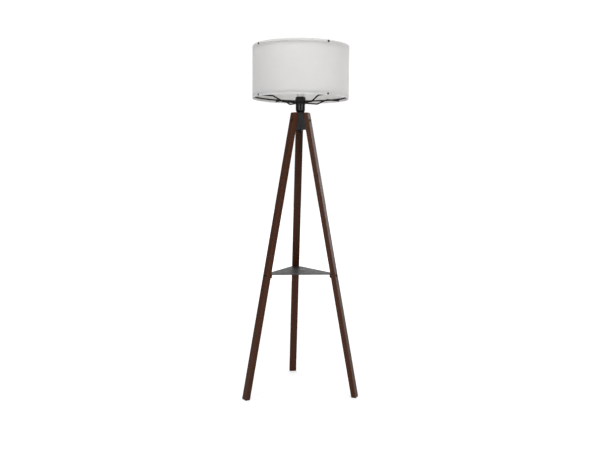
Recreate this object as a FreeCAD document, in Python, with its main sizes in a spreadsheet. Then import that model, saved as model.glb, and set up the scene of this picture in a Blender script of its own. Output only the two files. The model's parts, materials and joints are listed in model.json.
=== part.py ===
import FreeCAD, Part
import os
import Sketcher
from FreeCAD import Placement, Rotation, Vector

# Tripod floor lamp. Origin on the lamp's axis at floor level, +Z up, the back leg towards +Y.
# Every size below is in millimetres, and every angle in degrees.
SIZES = {
    # legs: a flat board each, leaning inwards, cut level at the foot and at the top
    "foot_radius": 259.8,
    "neck_radius": 28.0,
    "hub_top": 1174.0,
    "leg_width": 31.0,
    "leg_thickness": 20.5,
    "leg_edge_radius": 1.5,
    "glide_thickness": 3.0,
    "glide_inset": 0.8,
    "glide_pin_radius": 2.0,
    "glide_pin_length": 16.0,
    # hub: a hollow three-sided casting with a notch for each leg
    "hub_height": 67.0,
    "hub_horn_top": 6.0,
    "hub_horn_bottom": 0.4,
    "hub_wall": 3.0,
    "hub_roof": 4.0,
    "hub_horn_land": 0.8,
    "notch_gap": 0.2,
    "cover_thickness": 2.0,
    "cover_inset": 0.6,
    # bolts, washers and nuts that hold the legs
    "bolt_radius": 3.0,
    "bolt_hole_gap": 0.3,
    "bolt_head_radius": 5.6,
    "bolt_head_height": 3.2,
    "bolt_head_round": 1.8,
    "hex_key_across": 4.0,
    "hex_key_depth": 1.8,
    "bolt_end": 1.6,
    "washer_radius": 6.2,
    "washer_thickness": 1.2,
    "nut_across": 10.0,
    "nut_thickness": 5.0,
    # tray: a flat sheet with a tab turned down behind each leg
    "tray_top": 509.0,
    "tray_sheet": 2.5,
    "tray_corner_width": 38.0,
    "tab_sheet": 2.0,
    "tab_drop": 16.0,
    "tray_edge_radius": 1.0,
    # threaded tube that clamps the lampholder, the hub and the cover together
    "tube_radius": 5.0,
    "tube_bore_radius": 4.0,
    "tube_hole_gap": 0.1,
    "tube_below": 11.0,
    "tube_top_gap": 1.2,
    "tube_nut_across": 14.0,
    "tube_nut_thickness": 4.0,
    "tube_washer_radius": 9.0,
    "tube_washer_thickness": 1.2,
    "cord_bore_radius": 3.2,
    "bush_flange_radius": 6.5,
    "bush_flange_thickness": 2.0,
    "bush_length": 12.0,
    # lampholder
    "holder_gap": 1.0,
    "cap_base_step": 5.1,
    "cap_shoulder_step": 2.25,
    "cap_floor": 5.0,
    "cap_height": 10.2,
    "cap_spigot": 5.8,
    "cap_wall": 2.2,
    "barrel_step": 2.85,
    "barrel_height": 24.4,
    "barrel_wall": 2.3,
    "flange_lip": 2.65,
    "flange_thickness": 2.4,
    "sleeve_wall": 2.0,
    "sleeve_height": 25.0,
    "insulator_gap": 0.2,
    "insulator_height": 15.0,
    "insulator_drop": 2.4,
    "terminal_length": 8.0,
    "terminal_width": 6.0,
    "terminal_height": 6.0,
    "terminal_offset": 9.0,
    "terminal_screw_radius": 1.5,
    "terminal_screw_head_radius": 2.6,
    "terminal_screw_head_height": 1.6,
    "contact_stem_radius": 1.4,
    "contact_head_radius": 3.6,
    "contact_head_height": 3.0,
    "shell_wall": 0.6,
    "shell_gap": 0.7,
    "shell_drop": 3.8,
    "shell_base_opening": 8.0,
    "grub_radius": 1.5,
    "grub_length": 8.0,
    # retaining ring that clamps the shade carrier
    "clamp_gap": 0.25,
    "thread_gap": 0.3,
    "ring_skirt_wall": 5.7,
    "ring_skirt_height": 5.5,
    "ring_top_wall": 2.2,
    "ring_top_gap": 0.6,
    "ring_lip": 1.5,
    "ring_lip_thickness": 1.4,
    "rib_count": 24.0,
    "rib_groove_radius": 0.9,
    # shade and its wire frame
    "shade_radius": 200.0,
    "shade_sheet": 1.0,
    "shade_lift": 15.25,
    "shade_height": 213.2,
    "wire_radius": 3.1,
    "wire_gap": 0.3,
    "wire_weld": 0.5,
    "ring_weld": 0.1,
    "centre_ring_gap": 1.75,
    "arm_drop_radius": 84.0,
    "arm_rise_radius": 133.0,
    "arm_bend_radius": 12.0,
    "shade_turned": 27.0,
    "rivet_margin": 5.6,
    "rivet_head_radius": 4.0,
    "rivet_head_height": 1.8,
    "rivet_head_round": 1.1,
    "rivet_radius": 1.2,
    "rivet_depth": 3.0,
    "clip_side": 0.9,
    "clip_back": 1.2,
    "clip_wall": 1.0,
    "clip_gap": 0.1,
    # bulb with a standard screw cap
    "bulb_seat_gap": 0.3,
    "bulb_cap_radius": 13.1,
    "bulb_cap_gap": 0.6,
    "bulb_cap_height": 18.0,
    "bulb_cap_wall": 0.5,
    "bulb_thread_pitch": 3.6,
    "bulb_thread_radius": 1.2,
    "bulb_thread_depth": 0.6,
    "bulb_thread_turns": 4.0,
    "bulb_tip_radius": 4.5,
    "bulb_tip_height": 2.0,
    "bulb_cone_height": 5.0,
    "bulb_neck_height": 13.0,
    "bulb_neck_step": 0.5,
    "bulb_neck_spread": 2.7,
    "bulb_radius": 30.0,
    "bulb_rim_radius": 27.5,
    "bulb_length": 110.0,
    "bulb_wall": 1.2,
}

LEGS = {"back": 90.0, "left": 210.0, "right": 330.0}
ARM_COUNT = 4
LEG_COUNT = len(LEGS)
ARM_STEP = 360 / ARM_COUNT
LEG_STEP = 360 / LEG_COUNT
FULL_TURN = 360.0
UP = Vector(0, 0, 1)
ALONG = Vector(1, 0, 0)
ACROSS = Vector(0, 1, 0)
SAME_LENGTH = 0.01

document = FreeCAD.newDocument("TripodFloorLamp")
sheet = document.addObject("Spreadsheet::Sheet", "dims")
for row, (name, size) in enumerate(SIZES.items(), start=1):
    sheet.set(f"A{row}", name)
    sheet.set(f"B{row}", str(size))
    sheet.setAlias(f"B{row}", name)
document.recompute()

# Lengths that follow from the sheet, as expressions that the sheet's names fill in
SLOPE = "((dims.foot_radius - dims.neck_radius) / dims.hub_top)"
LEAN = f"sqrt(1 + {SLOPE} ^ 2)"
HUB_BOTTOM = "(dims.hub_top - dims.hub_height)"
COVER_BOTTOM = f"({HUB_BOTTOM} - dims.cover_thickness)"
NOTCH_HALF = "(dims.leg_width / 2 + dims.notch_gap)"
HORN_HALF = f"({NOTCH_HALF} + dims.hub_horn_land)"
HUB_BOLT = "(dims.hub_top - dims.hub_height / 2)"
TRAY_BOLT = "(dims.tray_top - dims.tab_drop / 2)"
BOLT_HOLE = "(dims.bolt_radius + dims.bolt_hole_gap)"
TUBE_HOLE = "(dims.tube_radius + dims.tube_hole_gap)"
TUBE_BOTTOM = f"({COVER_BOTTOM} - dims.tube_below)"
HOLDER_BOTTOM = "(dims.hub_top + dims.holder_gap)"
BARREL_BOTTOM = f"({HOLDER_BOTTOM} + dims.cap_height)"
FLANGE_BOTTOM = f"({BARREL_BOTTOM} + dims.barrel_height)"
FLANGE_TOP = f"({FLANGE_BOTTOM} + dims.flange_thickness)"
SLEEVE_TOP = f"({FLANGE_TOP} + dims.sleeve_height)"
SHELL_BORE = "(dims.bulb_cap_radius + dims.bulb_cap_gap)"
SHELL_RADIUS = f"({SHELL_BORE} + dims.shell_wall)"
SLEEVE_BORE = f"({SHELL_RADIUS} + dims.shell_gap)"
SLEEVE_RADIUS = f"({SLEEVE_BORE} + dims.sleeve_wall)"
BARREL_RADIUS = f"({SLEEVE_RADIUS} + dims.barrel_step)"
BARREL_BORE = f"({BARREL_RADIUS} - dims.barrel_wall)"
INSULATOR_TOP = f"({FLANGE_BOTTOM} - dims.insulator_drop)"
INSULATOR_BOTTOM = f"({INSULATOR_TOP} - dims.insulator_height)"
TERMINAL_BOTTOM = f"({INSULATOR_BOTTOM} - dims.terminal_height)"
CONTACT_TOP = f"({INSULATOR_TOP} + dims.contact_head_height)"
CENTRE_WIRE = f"({FLANGE_TOP} + dims.clamp_gap + dims.wire_radius)"
RING_BOTTOM = f"({CENTRE_WIRE} + dims.wire_radius + dims.clamp_gap)"
RING_BORE = f"({SLEEVE_RADIUS} + dims.thread_gap)"
RING_SKIRT = f"({RING_BORE} + dims.ring_skirt_wall)"
RING_TOP = f"({SLEEVE_TOP} + dims.ring_top_gap + dims.ring_lip_thickness)"
CENTRE_RING = f"({SLEEVE_RADIUS} + dims.centre_ring_gap + dims.wire_radius)"
SHADE_BOTTOM = f"({CENTRE_WIRE} + dims.shade_lift)"
SHADE_TOP = f"({SHADE_BOTTOM} + dims.shade_height)"
SHADE_INNER = "(dims.shade_radius - dims.shade_sheet)"
WIRE_RING = f"({SHADE_INNER} - dims.wire_gap - dims.wire_radius)"
LOW_RIVET = f"({SHADE_BOTTOM} + dims.rivet_margin)"
HIGH_RIVET = f"({SHADE_TOP} - dims.rivet_margin)"
RING_STEP = "(2 * dims.wire_radius - dims.ring_weld)"
LOW_RING = f"({LOW_RIVET} + {RING_STEP})"
HIGH_RING = f"({HIGH_RIVET} - {RING_STEP})"
BULB_NECK = "(dims.bulb_cap_radius + dims.bulb_neck_step)"
BULB_BOTTOM = f"({CONTACT_TOP} + dims.bulb_seat_gap)"
BULB_CAP_BOTTOM = f"({BULB_BOTTOM} + dims.bulb_tip_height + dims.bulb_cone_height)"
BULB_CAP_TOP = f"({BULB_CAP_BOTTOM} + dims.bulb_cap_height)"
BULB_CENTRE = f"({BULB_BOTTOM} + dims.bulb_length - dims.bulb_radius)"
BULB_RIM = f"({BULB_CENTRE} - sqrt(dims.bulb_radius ^ 2 - dims.bulb_rim_radius ^ 2))"


def number(expression):
    """The value of an expression of sheet names."""
    found = sheet.evalExpression(expression)
    return float(getattr(found, "Value", found))


def leg_middle(height):
    """Distance of a leg's centreline from the lamp's axis at a height."""
    return f"(dims.foot_radius - {SLOPE} * ({height}))"


def leg_inner(height):
    """Distance of a leg's inner face from the lamp's axis at a height."""
    return f"({leg_middle(height)} - dims.leg_thickness / 2 * {LEAN})"


def leg_outer(height):
    """Distance of a leg's outer face from the lamp's axis at a height."""
    return f"({leg_middle(height)} + dims.leg_thickness / 2 * {LEAN})"


def new_body(label, placement=Placement()):
    """An empty body with its own label and place."""
    body = document.addObject("PartDesign::Body", label)
    body.Label = label
    body.Placement = placement
    return body


def origin_part(body, role):
    """One of a body's own origin planes or axes."""
    return next(part for part in body.Origin.OriginFeatures if part.Role == role)


def new_sketch(body, plane="XZ_Plane", distance=None):
    """A sketch on one of the body's origin planes, or at a distance from it."""
    sketch = body.newObject("Sketcher::SketchObject", f"{body.Name}_sketch")
    sketch.AttachmentSupport = (origin_part(body, plane), [""])
    sketch.MapMode = "FlatFace"
    if distance:
        sketch.setExpression("AttachmentOffset.Base.z", distance)
    return sketch


def bind(sketch, kind, *references, size):
    """A dimension of a sketch, bound to an expression."""
    constraint = Sketcher.Constraint(kind, *references, number(size))
    index = sketch.addConstraint(constraint)
    sketch.setExpression(f"Constraints[{index}]", size)


def pin_point(sketch, geometry, vertex, corner):
    """Holds a point of a sketch at a pair of expressions."""
    for kind, axis, size in (("DistanceX", -2, corner[0]), ("DistanceY", -1, corner[1])):
        if size == "0":
            sketch.addConstraint(Sketcher.Constraint("PointOnObject", geometry, vertex, axis))
        else:
            bind(sketch, kind, -1, 1, geometry, vertex, size=size)


def polygon(sketch, corners):
    """A closed outline of straight edges."""
    first = sketch.GeometryCount
    points = [Vector(number(x), number(y), 0) for x, y in corners]
    for start, end in zip(points, points[1:] + points[:1]):
        sketch.addGeometry(Part.LineSegment(start, end), False)
    for index in range(len(corners)):
        following = first + (index + 1) % len(corners)
        sketch.addConstraint(Sketcher.Constraint("Coincident", first + index, 2, following, 1))
    for index, corner in enumerate(corners):
        pin_point(sketch, first + index, 1, corner)


def circle(sketch, centre, radius):
    """A circle of a sketch."""
    middle = Vector(number(centre[0]), number(centre[1]), 0)
    index = sketch.addGeometry(Part.Circle(middle, UP, number(radius)), False)
    pin_point(sketch, index, 3, centre)
    bind(sketch, "Radius", index, size=radius)


def box_corners(low, high):
    """The corners of a rectangle from its low and high corners."""
    return [(low[0], low[1]), (high[0], low[1]), (high[0], high[1]), (low[0], high[1])]


def hexagon_corners(across):
    """A regular hexagon about the origin, from its width across the flats."""
    side = f"({across} / sqrt(3))"
    return [(f"{side} * cos({angle})", f"{side} * sin({angle})") if angle % 180
            else (f"{side} * cos({angle})", "0") for angle in range(0, 360, 60)]


def three_sided(seat, half):
    """A triangle with cut corners: three short sides at a distance, one towards each leg."""
    corners = []
    for leg in range(LEG_COUNT):
        turn = leg * LEG_STEP
        for side in (-1, 1):
            x = f"({seat}) * cos({turn}) - {side} * ({half}) * sin({turn})"
            y = f"({seat}) * sin({turn}) + {side} * ({half}) * cos({turn})"
            corners.append((x, y))
    return corners


def padded(body, sketch, length, symmetric=False):
    """A pad of a sketch, one way or both ways."""
    pad = body.newObject("PartDesign::Pad", f"{body.Name}_pad")
    pad.Profile = sketch
    pad.SideType = "Symmetric" if symmetric else "One side"
    pad.setExpression("Length", length)
    return pad


def pocketed(body, sketch, length=None, reversed_way=False):
    """A pocket through everything both ways, or of a given length one way."""
    pocket = body.newObject("PartDesign::Pocket", f"{body.Name}_pocket")
    pocket.Profile = sketch
    if length is None:
        pocket.SideType = "Symmetric"
        pocket.Type = "ThroughAll"
    else:
        pocket.setExpression("Length", length)
        pocket.Reversed = reversed_way
    return pocket


def turned_feature(body, sketch, kind="PartDesign::Revolution"):
    """A full turn of a sketch about the body's Z axis, added or cut."""
    turn = body.newObject(kind, f"{body.Name}_turned")
    turn.Profile = sketch
    turn.ReferenceAxis = (sketch, ["V_Axis"])
    turn.Angle = FULL_TURN
    return turn


def patterned(body, feature, count):
    """Copies of a feature, evenly spaced about the body's Z axis."""
    pattern = body.newObject("PartDesign::PolarPattern", f"{body.Name}_pattern")
    pattern.Originals = [feature]
    pattern.Axis = (origin_part(body, "Z_Axis"), [""])
    pattern.Angle = FULL_TURN
    pattern.Occurrences = int(count)
    body.Tip = pattern
    return pattern


def rounded(body, radius, chosen):
    """A fillet on the edges of the body that a test chooses."""
    document.recompute()
    tip = body.Tip
    names = [f"Edge{place}" for place, edge in enumerate(tip.Shape.Edges, start=1) if chosen(edge)]
    fillet = body.newObject("PartDesign::Fillet", f"{body.Name}_fillet")
    fillet.Base = (tip, names)
    fillet.setExpression("Radius", radius)
    return fillet


def at_height(edge, height):
    """Whether an edge lies level at a height."""
    box = edge.BoundBox
    return abs(box.ZMin - height) < SAME_LENGTH and abs(box.ZMax - height) < SAME_LENGTH


def turned_body(label, corners, placement=Placement()):
    """A piece turned on a lathe from its half section."""
    body = new_body(label, placement)
    sketch = new_sketch(body)
    polygon(sketch, corners)
    turned_feature(body, sketch)
    return body


def bored_plate(label, outline, bore, bottom, thickness, placement=Placement()):
    """A flat piece with a round hole at its middle."""
    body = new_body(label, placement)
    sketch = new_sketch(body, "XY_Plane", bottom)
    polygon(sketch, outline)
    circle(sketch, ("0", "0"), bore)
    padded(body, sketch, thickness)
    return body


def group(label, members):
    """Several equal pieces in one node."""
    compound = document.addObject("Part::Compound", label)
    compound.Label = label
    compound.Links = members
    return compound


def towards(angle):
    """The place of a piece drawn with the lamp's radius along X, turned to its side of the lamp."""
    return Placement(Vector(), Rotation(UP, angle))


def along_bolt(angle, height):
    """The place of a bolt's piece drawn along Z, with its origin on the leg's centreline."""
    tilt = Rotation(ACROSS, number(f"90 - atan({SLOPE}) / 1 deg"))
    spot = Placement(Vector(number(leg_middle(height)), 0, number(height)), tilt)
    return towards(angle).multiply(spot)


def bolt_hole(body, height, inwards):
    """A bolt hole square to the leg's faces, from the leg's centreline to a depth inwards."""
    sketch = new_sketch(body, "XY_Plane")
    sketch.AttachmentOffset = along_bolt(0, height)
    circle(sketch, ("0", "0"), BOLT_HOLE)
    return pocketed(body, sketch, inwards)


def leg(side, angle):
    """A leg: a leaning board, level at both ends, with two bolt holes and a pin hole."""
    body = new_body(f"leg_{side}", towards(angle))
    bottom, top = "dims.glide_thickness", "dims.hub_top"
    sketch = new_sketch(body)
    polygon(sketch, [(leg_inner(bottom), bottom), (leg_outer(bottom), bottom),
                     (leg_outer(top), top), (leg_inner(top), top)])
    padded(body, sketch, "dims.leg_width", symmetric=True)
    rounded(body, "dims.leg_edge_radius", lambda edge: edge.Length > number("dims.hub_top / 2"))
    for height in (HUB_BOLT, TRAY_BOLT):
        hole = bolt_hole(body, height, "2 * dims.leg_thickness")
        hole.SideType = "Symmetric"
    pin = new_sketch(body, "XY_Plane", bottom)
    circle(pin, (leg_middle(bottom), "0"), "dims.glide_pin_radius")
    pocketed(body, pin, "dims.glide_pin_length", reversed_way=True)


def glide(side, angle):
    """A foot glide: a plate under the leg, with a pin driven up into it."""
    body = new_body(f"glide_{side}", towards(angle))
    bottom = "dims.glide_thickness"
    half = "(dims.leg_width / 2 - dims.glide_inset)"
    plate = new_sketch(body, "XY_Plane")
    polygon(plate, box_corners((f"{leg_inner(bottom)} + dims.glide_inset", f"-{half}"),
                               (f"{leg_outer(bottom)} - dims.glide_inset", half)))
    padded(body, plate, "dims.glide_thickness")
    pin = new_sketch(body, "XY_Plane")
    circle(pin, (leg_middle(bottom), "0"), "dims.glide_pin_radius")
    padded(body, pin, "dims.glide_thickness + dims.glide_pin_length")


def hub_face(height, horn):
    """Distance of the hub's closing faces at a height, from how far its horns reach past the leg's seat."""
    return f"(({leg_inner(height)} + {horn} + {HORN_HALF} * sqrt(3)) / 2)"


def hub_outline(body, height, horn):
    """The hub's outer section at a height."""
    sketch = new_sketch(body, "XY_Plane", height)
    polygon(sketch, three_sided(f"({leg_inner(height)} + {horn})", HORN_HALF))
    return sketch


def hub_cavity(body, height, face):
    """The hub's inner section at a height, one wall inside its faces and its leg seats."""
    seat = f"({leg_inner(height)} - dims.hub_wall * {LEAN})"
    inner_face = f"({face} - dims.hub_wall)"
    sketch = new_sketch(body, "XY_Plane", height)
    polygon(sketch, three_sided(seat, f"(2 * {inner_face} - {seat}) / sqrt(3)"))
    return sketch


def lofted(body, kind, low, high):
    """A straight-sided loft between two sections, added or cut."""
    loft = body.newObject(kind, f"{body.Name}_loft")
    loft.Profile = low
    loft.Sections = [high]
    loft.Ruled = True
    return loft


def hub_shell():
    """The hub: three closing faces, a notch for each leg, hollow and open underneath."""
    body = new_body("hub_shell", towards(LEGS["back"]))
    low = hub_outline(body, HUB_BOTTOM, "dims.hub_horn_bottom")
    high = hub_outline(body, "dims.hub_top", "dims.hub_horn_top")
    lofted(body, "PartDesign::AdditiveLoft", low, high)
    roof = "(dims.hub_top - dims.hub_roof)"
    low_face = hub_face(HUB_BOTTOM, "dims.hub_horn_bottom")
    high_face = hub_face("dims.hub_top", "dims.hub_horn_top")
    roof_face = f"({high_face} + ({low_face} - {high_face}) * dims.hub_roof / dims.hub_height)"
    cavity_low = hub_cavity(body, HUB_BOTTOM, low_face)
    cavity_high = hub_cavity(body, roof, roof_face)
    lofted(body, "PartDesign::SubtractiveLoft", cavity_low, cavity_high)
    below, above = f"({HUB_BOTTOM} - dims.hub_roof)", "(dims.hub_top + dims.hub_roof)"
    notch = new_sketch(body)
    polygon(notch, [(leg_inner(below), below), (f"2 * {leg_outer(below)}", below),
                    (f"2 * {leg_outer(below)}", above), (leg_inner(above), above)])
    cut = pocketed(body, notch, f"2 * {NOTCH_HALF}")
    cut.SideType = "Symmetric"
    patterned(body, cut, LEG_COUNT)
    hole = bolt_hole(body, HUB_BOLT, "dims.leg_thickness / 2 + 2 * dims.hub_wall")
    patterned(body, hole, LEG_COUNT)
    tube = new_sketch(body, "XY_Plane")
    circle(tube, ("0", "0"), TUBE_HOLE)
    pocketed(body, tube)


def hub_cover():
    """The plate that closes the hub's underside, drawn in by the threaded tube's nut."""
    seat = f"({leg_inner(HUB_BOTTOM)} - dims.cover_inset)"
    face = hub_face(HUB_BOTTOM, "dims.hub_horn_bottom")
    half = f"((2 * ({face} - dims.cover_inset) - {seat}) / sqrt(3))"
    bored_plate("hub_cover", three_sided(seat, half), TUBE_HOLE,
                COVER_BOTTOM, "dims.cover_thickness", towards(LEGS["back"]))


def bolt(name, angle, height, grip):
    """A round-headed bolt with a hex socket, its head on the leg's outer face."""
    body = new_body(f"{name}_bolt_{int(angle)}", along_bolt(angle, height))
    face = "(dims.leg_thickness / 2)"
    crown = f"({face} + dims.bolt_head_height)"
    end = f"-({face} + {grip} + dims.washer_thickness + dims.nut_thickness + dims.bolt_end)"
    sketch = new_sketch(body)
    polygon(sketch, [("0", end), ("dims.bolt_radius", end), ("dims.bolt_radius", face),
                     ("dims.bolt_head_radius", face), ("dims.bolt_head_radius", crown), ("0", crown)])
    turned_feature(body, sketch)
    top = number(crown)
    rounded(body, "dims.bolt_head_round", lambda edge: at_height(edge, top))
    socket = new_sketch(body, "XY_Plane", crown)
    polygon(socket, hexagon_corners("dims.hex_key_across"))
    pocketed(body, socket, "dims.hex_key_depth")
    return body


def washer(name, angle, height, grip):
    """A washer behind the sheet that the bolt holds."""
    face = f"(dims.leg_thickness / 2 + {grip})"
    return turned_body(f"{name}_washer_{int(angle)}",
                       box_corners((BOLT_HOLE, f"-({face} + dims.washer_thickness)"),
                                   ("dims.washer_radius", f"-{face}")),
                       along_bolt(angle, height))


def nut(name, angle, height, grip):
    """A hex nut behind the washer."""
    bottom = f"-(dims.leg_thickness / 2 + {grip} + dims.washer_thickness + dims.nut_thickness)"
    return bored_plate(f"{name}_nut_{int(angle)}", hexagon_corners("dims.nut_across"),
                       "dims.bolt_radius", bottom, "dims.nut_thickness", along_bolt(angle, height))


def leg_fasteners(name, height, grip):
    """The bolts, washers and nuts of one level, one set for each leg."""
    for kind, make in (("bolts", bolt), ("washers", washer), ("nuts", nut)):
        group(f"{name}_{kind}", [make(name, angle, height, grip) for angle in LEGS.values()])


def tray():
    """The tray that braces the legs: a three-sided sheet with a turned-down tab behind each leg."""
    body = new_body("tray", towards(LEGS["back"]))
    reach = leg_inner("dims.tray_top")
    sketch = new_sketch(body, "XY_Plane", "dims.tray_top - dims.tray_sheet")
    polygon(sketch, three_sided(reach, "dims.tray_corner_width / 2"))
    padded(body, sketch, "dims.tray_sheet")
    low = "(dims.tray_top - dims.tab_drop)"
    thick = f"(dims.tab_sheet * {LEAN})"
    tab = new_sketch(body)
    polygon(tab, [(f"{leg_inner(low)} - {thick}", low), (leg_inner(low), low),
                  (reach, "dims.tray_top"), (f"{reach} - {thick}", "dims.tray_top")])
    patterned(body, padded(body, tab, "dims.tray_corner_width", symmetric=True), LEG_COUNT)
    hole = bolt_hole(body, TRAY_BOLT, "dims.leg_thickness / 2 + 2 * dims.tab_sheet")
    patterned(body, hole, LEG_COUNT)
    top, width = number("dims.tray_top"), number("dims.tray_corner_width")
    rounded(body, "dims.tray_edge_radius",
            lambda edge: at_height(edge, top) and abs(edge.Length - width) < SAME_LENGTH)


def threaded_tube():
    """The hollow threaded tube, its nut and washer under the cover, and the cord bush in its end."""
    top = f"({BARREL_BOTTOM} - dims.tube_top_gap)"
    turned_body("threaded_tube", box_corners(("dims.tube_bore_radius", TUBE_BOTTOM),
                                             ("dims.tube_radius", top)))
    washer_bottom = f"({COVER_BOTTOM} - dims.tube_washer_thickness)"
    turned_body("tube_washer", box_corners((TUBE_HOLE, washer_bottom),
                                           ("dims.tube_washer_radius", COVER_BOTTOM)))
    bored_plate("tube_nut", hexagon_corners("dims.tube_nut_across"), "dims.tube_radius",
                f"({washer_bottom} - dims.tube_nut_thickness)", "dims.tube_nut_thickness")
    flange_bottom = f"({TUBE_BOTTOM} - dims.bush_flange_thickness)"
    sleeve_top = f"({flange_bottom} + dims.bush_length)"
    turned_body("cord_bush", [("dims.cord_bore_radius", flange_bottom),
                              ("dims.bush_flange_radius", flange_bottom),
                              ("dims.bush_flange_radius", TUBE_BOTTOM),
                              ("dims.tube_bore_radius", TUBE_BOTTOM),
                              ("dims.tube_bore_radius", sleeve_top),
                              ("dims.cord_bore_radius", sleeve_top)])


def lampholder_cap():
    """The lampholder's lower cap, screwed on the tube, and the grub screw that locks it there."""
    spigot = f"({BARREL_BORE} - dims.insulator_gap)"
    spigot_top = f"({BARREL_BOTTOM} + dims.cap_spigot)"
    floor = f"({HOLDER_BOTTOM} + dims.cap_floor)"
    inner = f"({spigot} - dims.cap_wall)"
    base = f"({BARREL_RADIUS} - dims.cap_base_step)"
    body = turned_body("lampholder_cap", [
        ("dims.tube_radius", HOLDER_BOTTOM), (base, HOLDER_BOTTOM),
        (f"{BARREL_RADIUS} - dims.cap_shoulder_step", floor), (BARREL_RADIUS, BARREL_BOTTOM),
        (spigot, BARREL_BOTTOM), (spigot, spigot_top), (inner, spigot_top),
        (inner, BARREL_BOTTOM), (f"{base} - dims.cap_wall", floor),
        ("dims.tube_radius", floor)])
    height = f"({HOLDER_BOTTOM} + dims.cap_floor / 2)"
    bore = new_sketch(body, "YZ_Plane")
    circle(bore, ("0", height), "dims.grub_radius")
    hole = pocketed(body, bore)
    hole.SideType = "One side"
    hole.Reversed = True
    grub = new_body("grub_screw")
    shank = new_sketch(grub, "YZ_Plane", "dims.tube_radius")
    circle(shank, ("0", height), "dims.grub_radius")
    padded(grub, shank, "dims.grub_length")


def lampholder_barrel():
    """The lampholder's barrel, with the shoulder that carries the shade and the sleeve above it."""
    inner_top = f"({FLANGE_BOTTOM} - dims.insulator_gap)"
    flange = f"({BARREL_RADIUS} + dims.flange_lip)"
    turned_body("lampholder_barrel", [
        (BARREL_BORE, BARREL_BOTTOM), (BARREL_RADIUS, BARREL_BOTTOM),
        (BARREL_RADIUS, FLANGE_BOTTOM), (flange, FLANGE_BOTTOM),
        (flange, FLANGE_TOP), (SLEEVE_RADIUS, FLANGE_TOP),
        (SLEEVE_RADIUS, SLEEVE_TOP), (SLEEVE_BORE, SLEEVE_TOP),
        (SLEEVE_BORE, inner_top), (BARREL_BORE, inner_top)])


def lampholder_inside():
    """The insulator with its terminals, their screws, the two contacts and the screw shell."""
    body = new_body("lampholder_insulator")
    disc = new_sketch(body, "XY_Plane", INSULATOR_BOTTOM)
    circle(disc, ("0", "0"), f"{BARREL_BORE} - dims.insulator_gap")
    circle(disc, ("0", "0"), "dims.contact_stem_radius")
    circle(disc, ("dims.terminal_offset", "0"), "dims.contact_stem_radius")
    padded(body, disc, "dims.insulator_height")
    turned_body("centre_contact", [
        ("0", INSULATOR_BOTTOM), ("dims.contact_stem_radius", INSULATOR_BOTTOM),
        ("dims.contact_stem_radius", INSULATOR_TOP), ("dims.contact_head_radius", INSULATOR_TOP),
        ("dims.contact_head_radius", CONTACT_TOP), ("0", CONTACT_TOP)])
    side = new_body("side_contact")
    stem = new_sketch(side, "XY_Plane", INSULATOR_BOTTOM)
    circle(stem, ("dims.terminal_offset", "0"), "dims.contact_stem_radius")
    padded(side, stem, "dims.insulator_height")
    shell_top = f"({SLEEVE_TOP} - dims.shell_drop)"
    shell_floor = f"({INSULATOR_TOP} + dims.shell_wall)"
    turned_body("screw_shell", [
        ("dims.shell_base_opening", INSULATOR_TOP), (SHELL_RADIUS, INSULATOR_TOP),
        (SHELL_RADIUS, shell_top), (SHELL_BORE, shell_top),
        (SHELL_BORE, shell_floor), ("dims.shell_base_opening", shell_floor)])
    blocks, screws = [], []
    for side_name, middle in (("live", "0"), ("neutral", "dims.terminal_offset")):
        block = new_body(f"terminal_{side_name}")
        outline = new_sketch(block, "XY_Plane", TERMINAL_BOTTOM)
        half_long, half_wide = "dims.terminal_length / 2", "dims.terminal_width / 2"
        polygon(outline, box_corners((f"{middle} - {half_wide}", f"-{half_long}"),
                                     (f"{middle} + {half_wide}", half_long)))
        padded(block, outline, "dims.terminal_height")
        height = f"({TERMINAL_BOTTOM} + dims.terminal_height / 2)"
        bored = new_sketch(block, "XZ_Plane")
        circle(bored, (middle, height), "dims.terminal_screw_radius")
        pocketed(block, bored)
        spot = Vector(number(middle), -number(half_long), number(height))
        screws.append(turned_body(f"terminal_screw_{side_name}", [
            ("0", f"-{half_long}"), ("dims.terminal_screw_radius", f"-{half_long}"),
            ("dims.terminal_screw_radius", "0"), ("dims.terminal_screw_head_radius", "0"),
            ("dims.terminal_screw_head_radius", "dims.terminal_screw_head_height"),
            ("0", "dims.terminal_screw_head_height")], Placement(spot, Rotation(ALONG, 90))))
        blocks.append(block)
    group("terminals", blocks)
    group("terminal_screws", screws)


def retaining_ring():
    """The ribbed ring that screws down on the sleeve and clamps the shade carrier."""
    skirt_top = f"({RING_BOTTOM} + dims.ring_skirt_height)"
    lip_radius = f"({RING_BORE} - dims.ring_lip)"
    lip_bottom = f"({RING_TOP} - dims.ring_lip_thickness)"
    body = turned_body("retaining_ring", [
        (RING_BORE, RING_BOTTOM), (RING_SKIRT, RING_BOTTOM), (RING_SKIRT, skirt_top),
        (f"{RING_BORE} + dims.ring_top_wall", RING_TOP), (lip_radius, RING_TOP),
        (lip_radius, lip_bottom), (RING_BORE, lip_bottom)])
    rib = new_sketch(body, "XY_Plane", RING_BOTTOM)
    circle(rib, (RING_SKIRT, "0"), "dims.rib_groove_radius")
    groove = pocketed(body, rib, f"{RING_TOP} - {RING_BOTTOM}", reversed_way=True)
    patterned(body, groove, number("dims.rib_count"))


def wire_ring(label, radius, height):
    """A closed ring of round wire."""
    ring = document.addObject("Part::Torus", label)
    ring.Label = label
    ring.setExpression("Radius1", radius)
    ring.setExpression("Radius2", "dims.wire_radius")
    ring.setExpression("Placement.Base.z", height)


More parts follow.
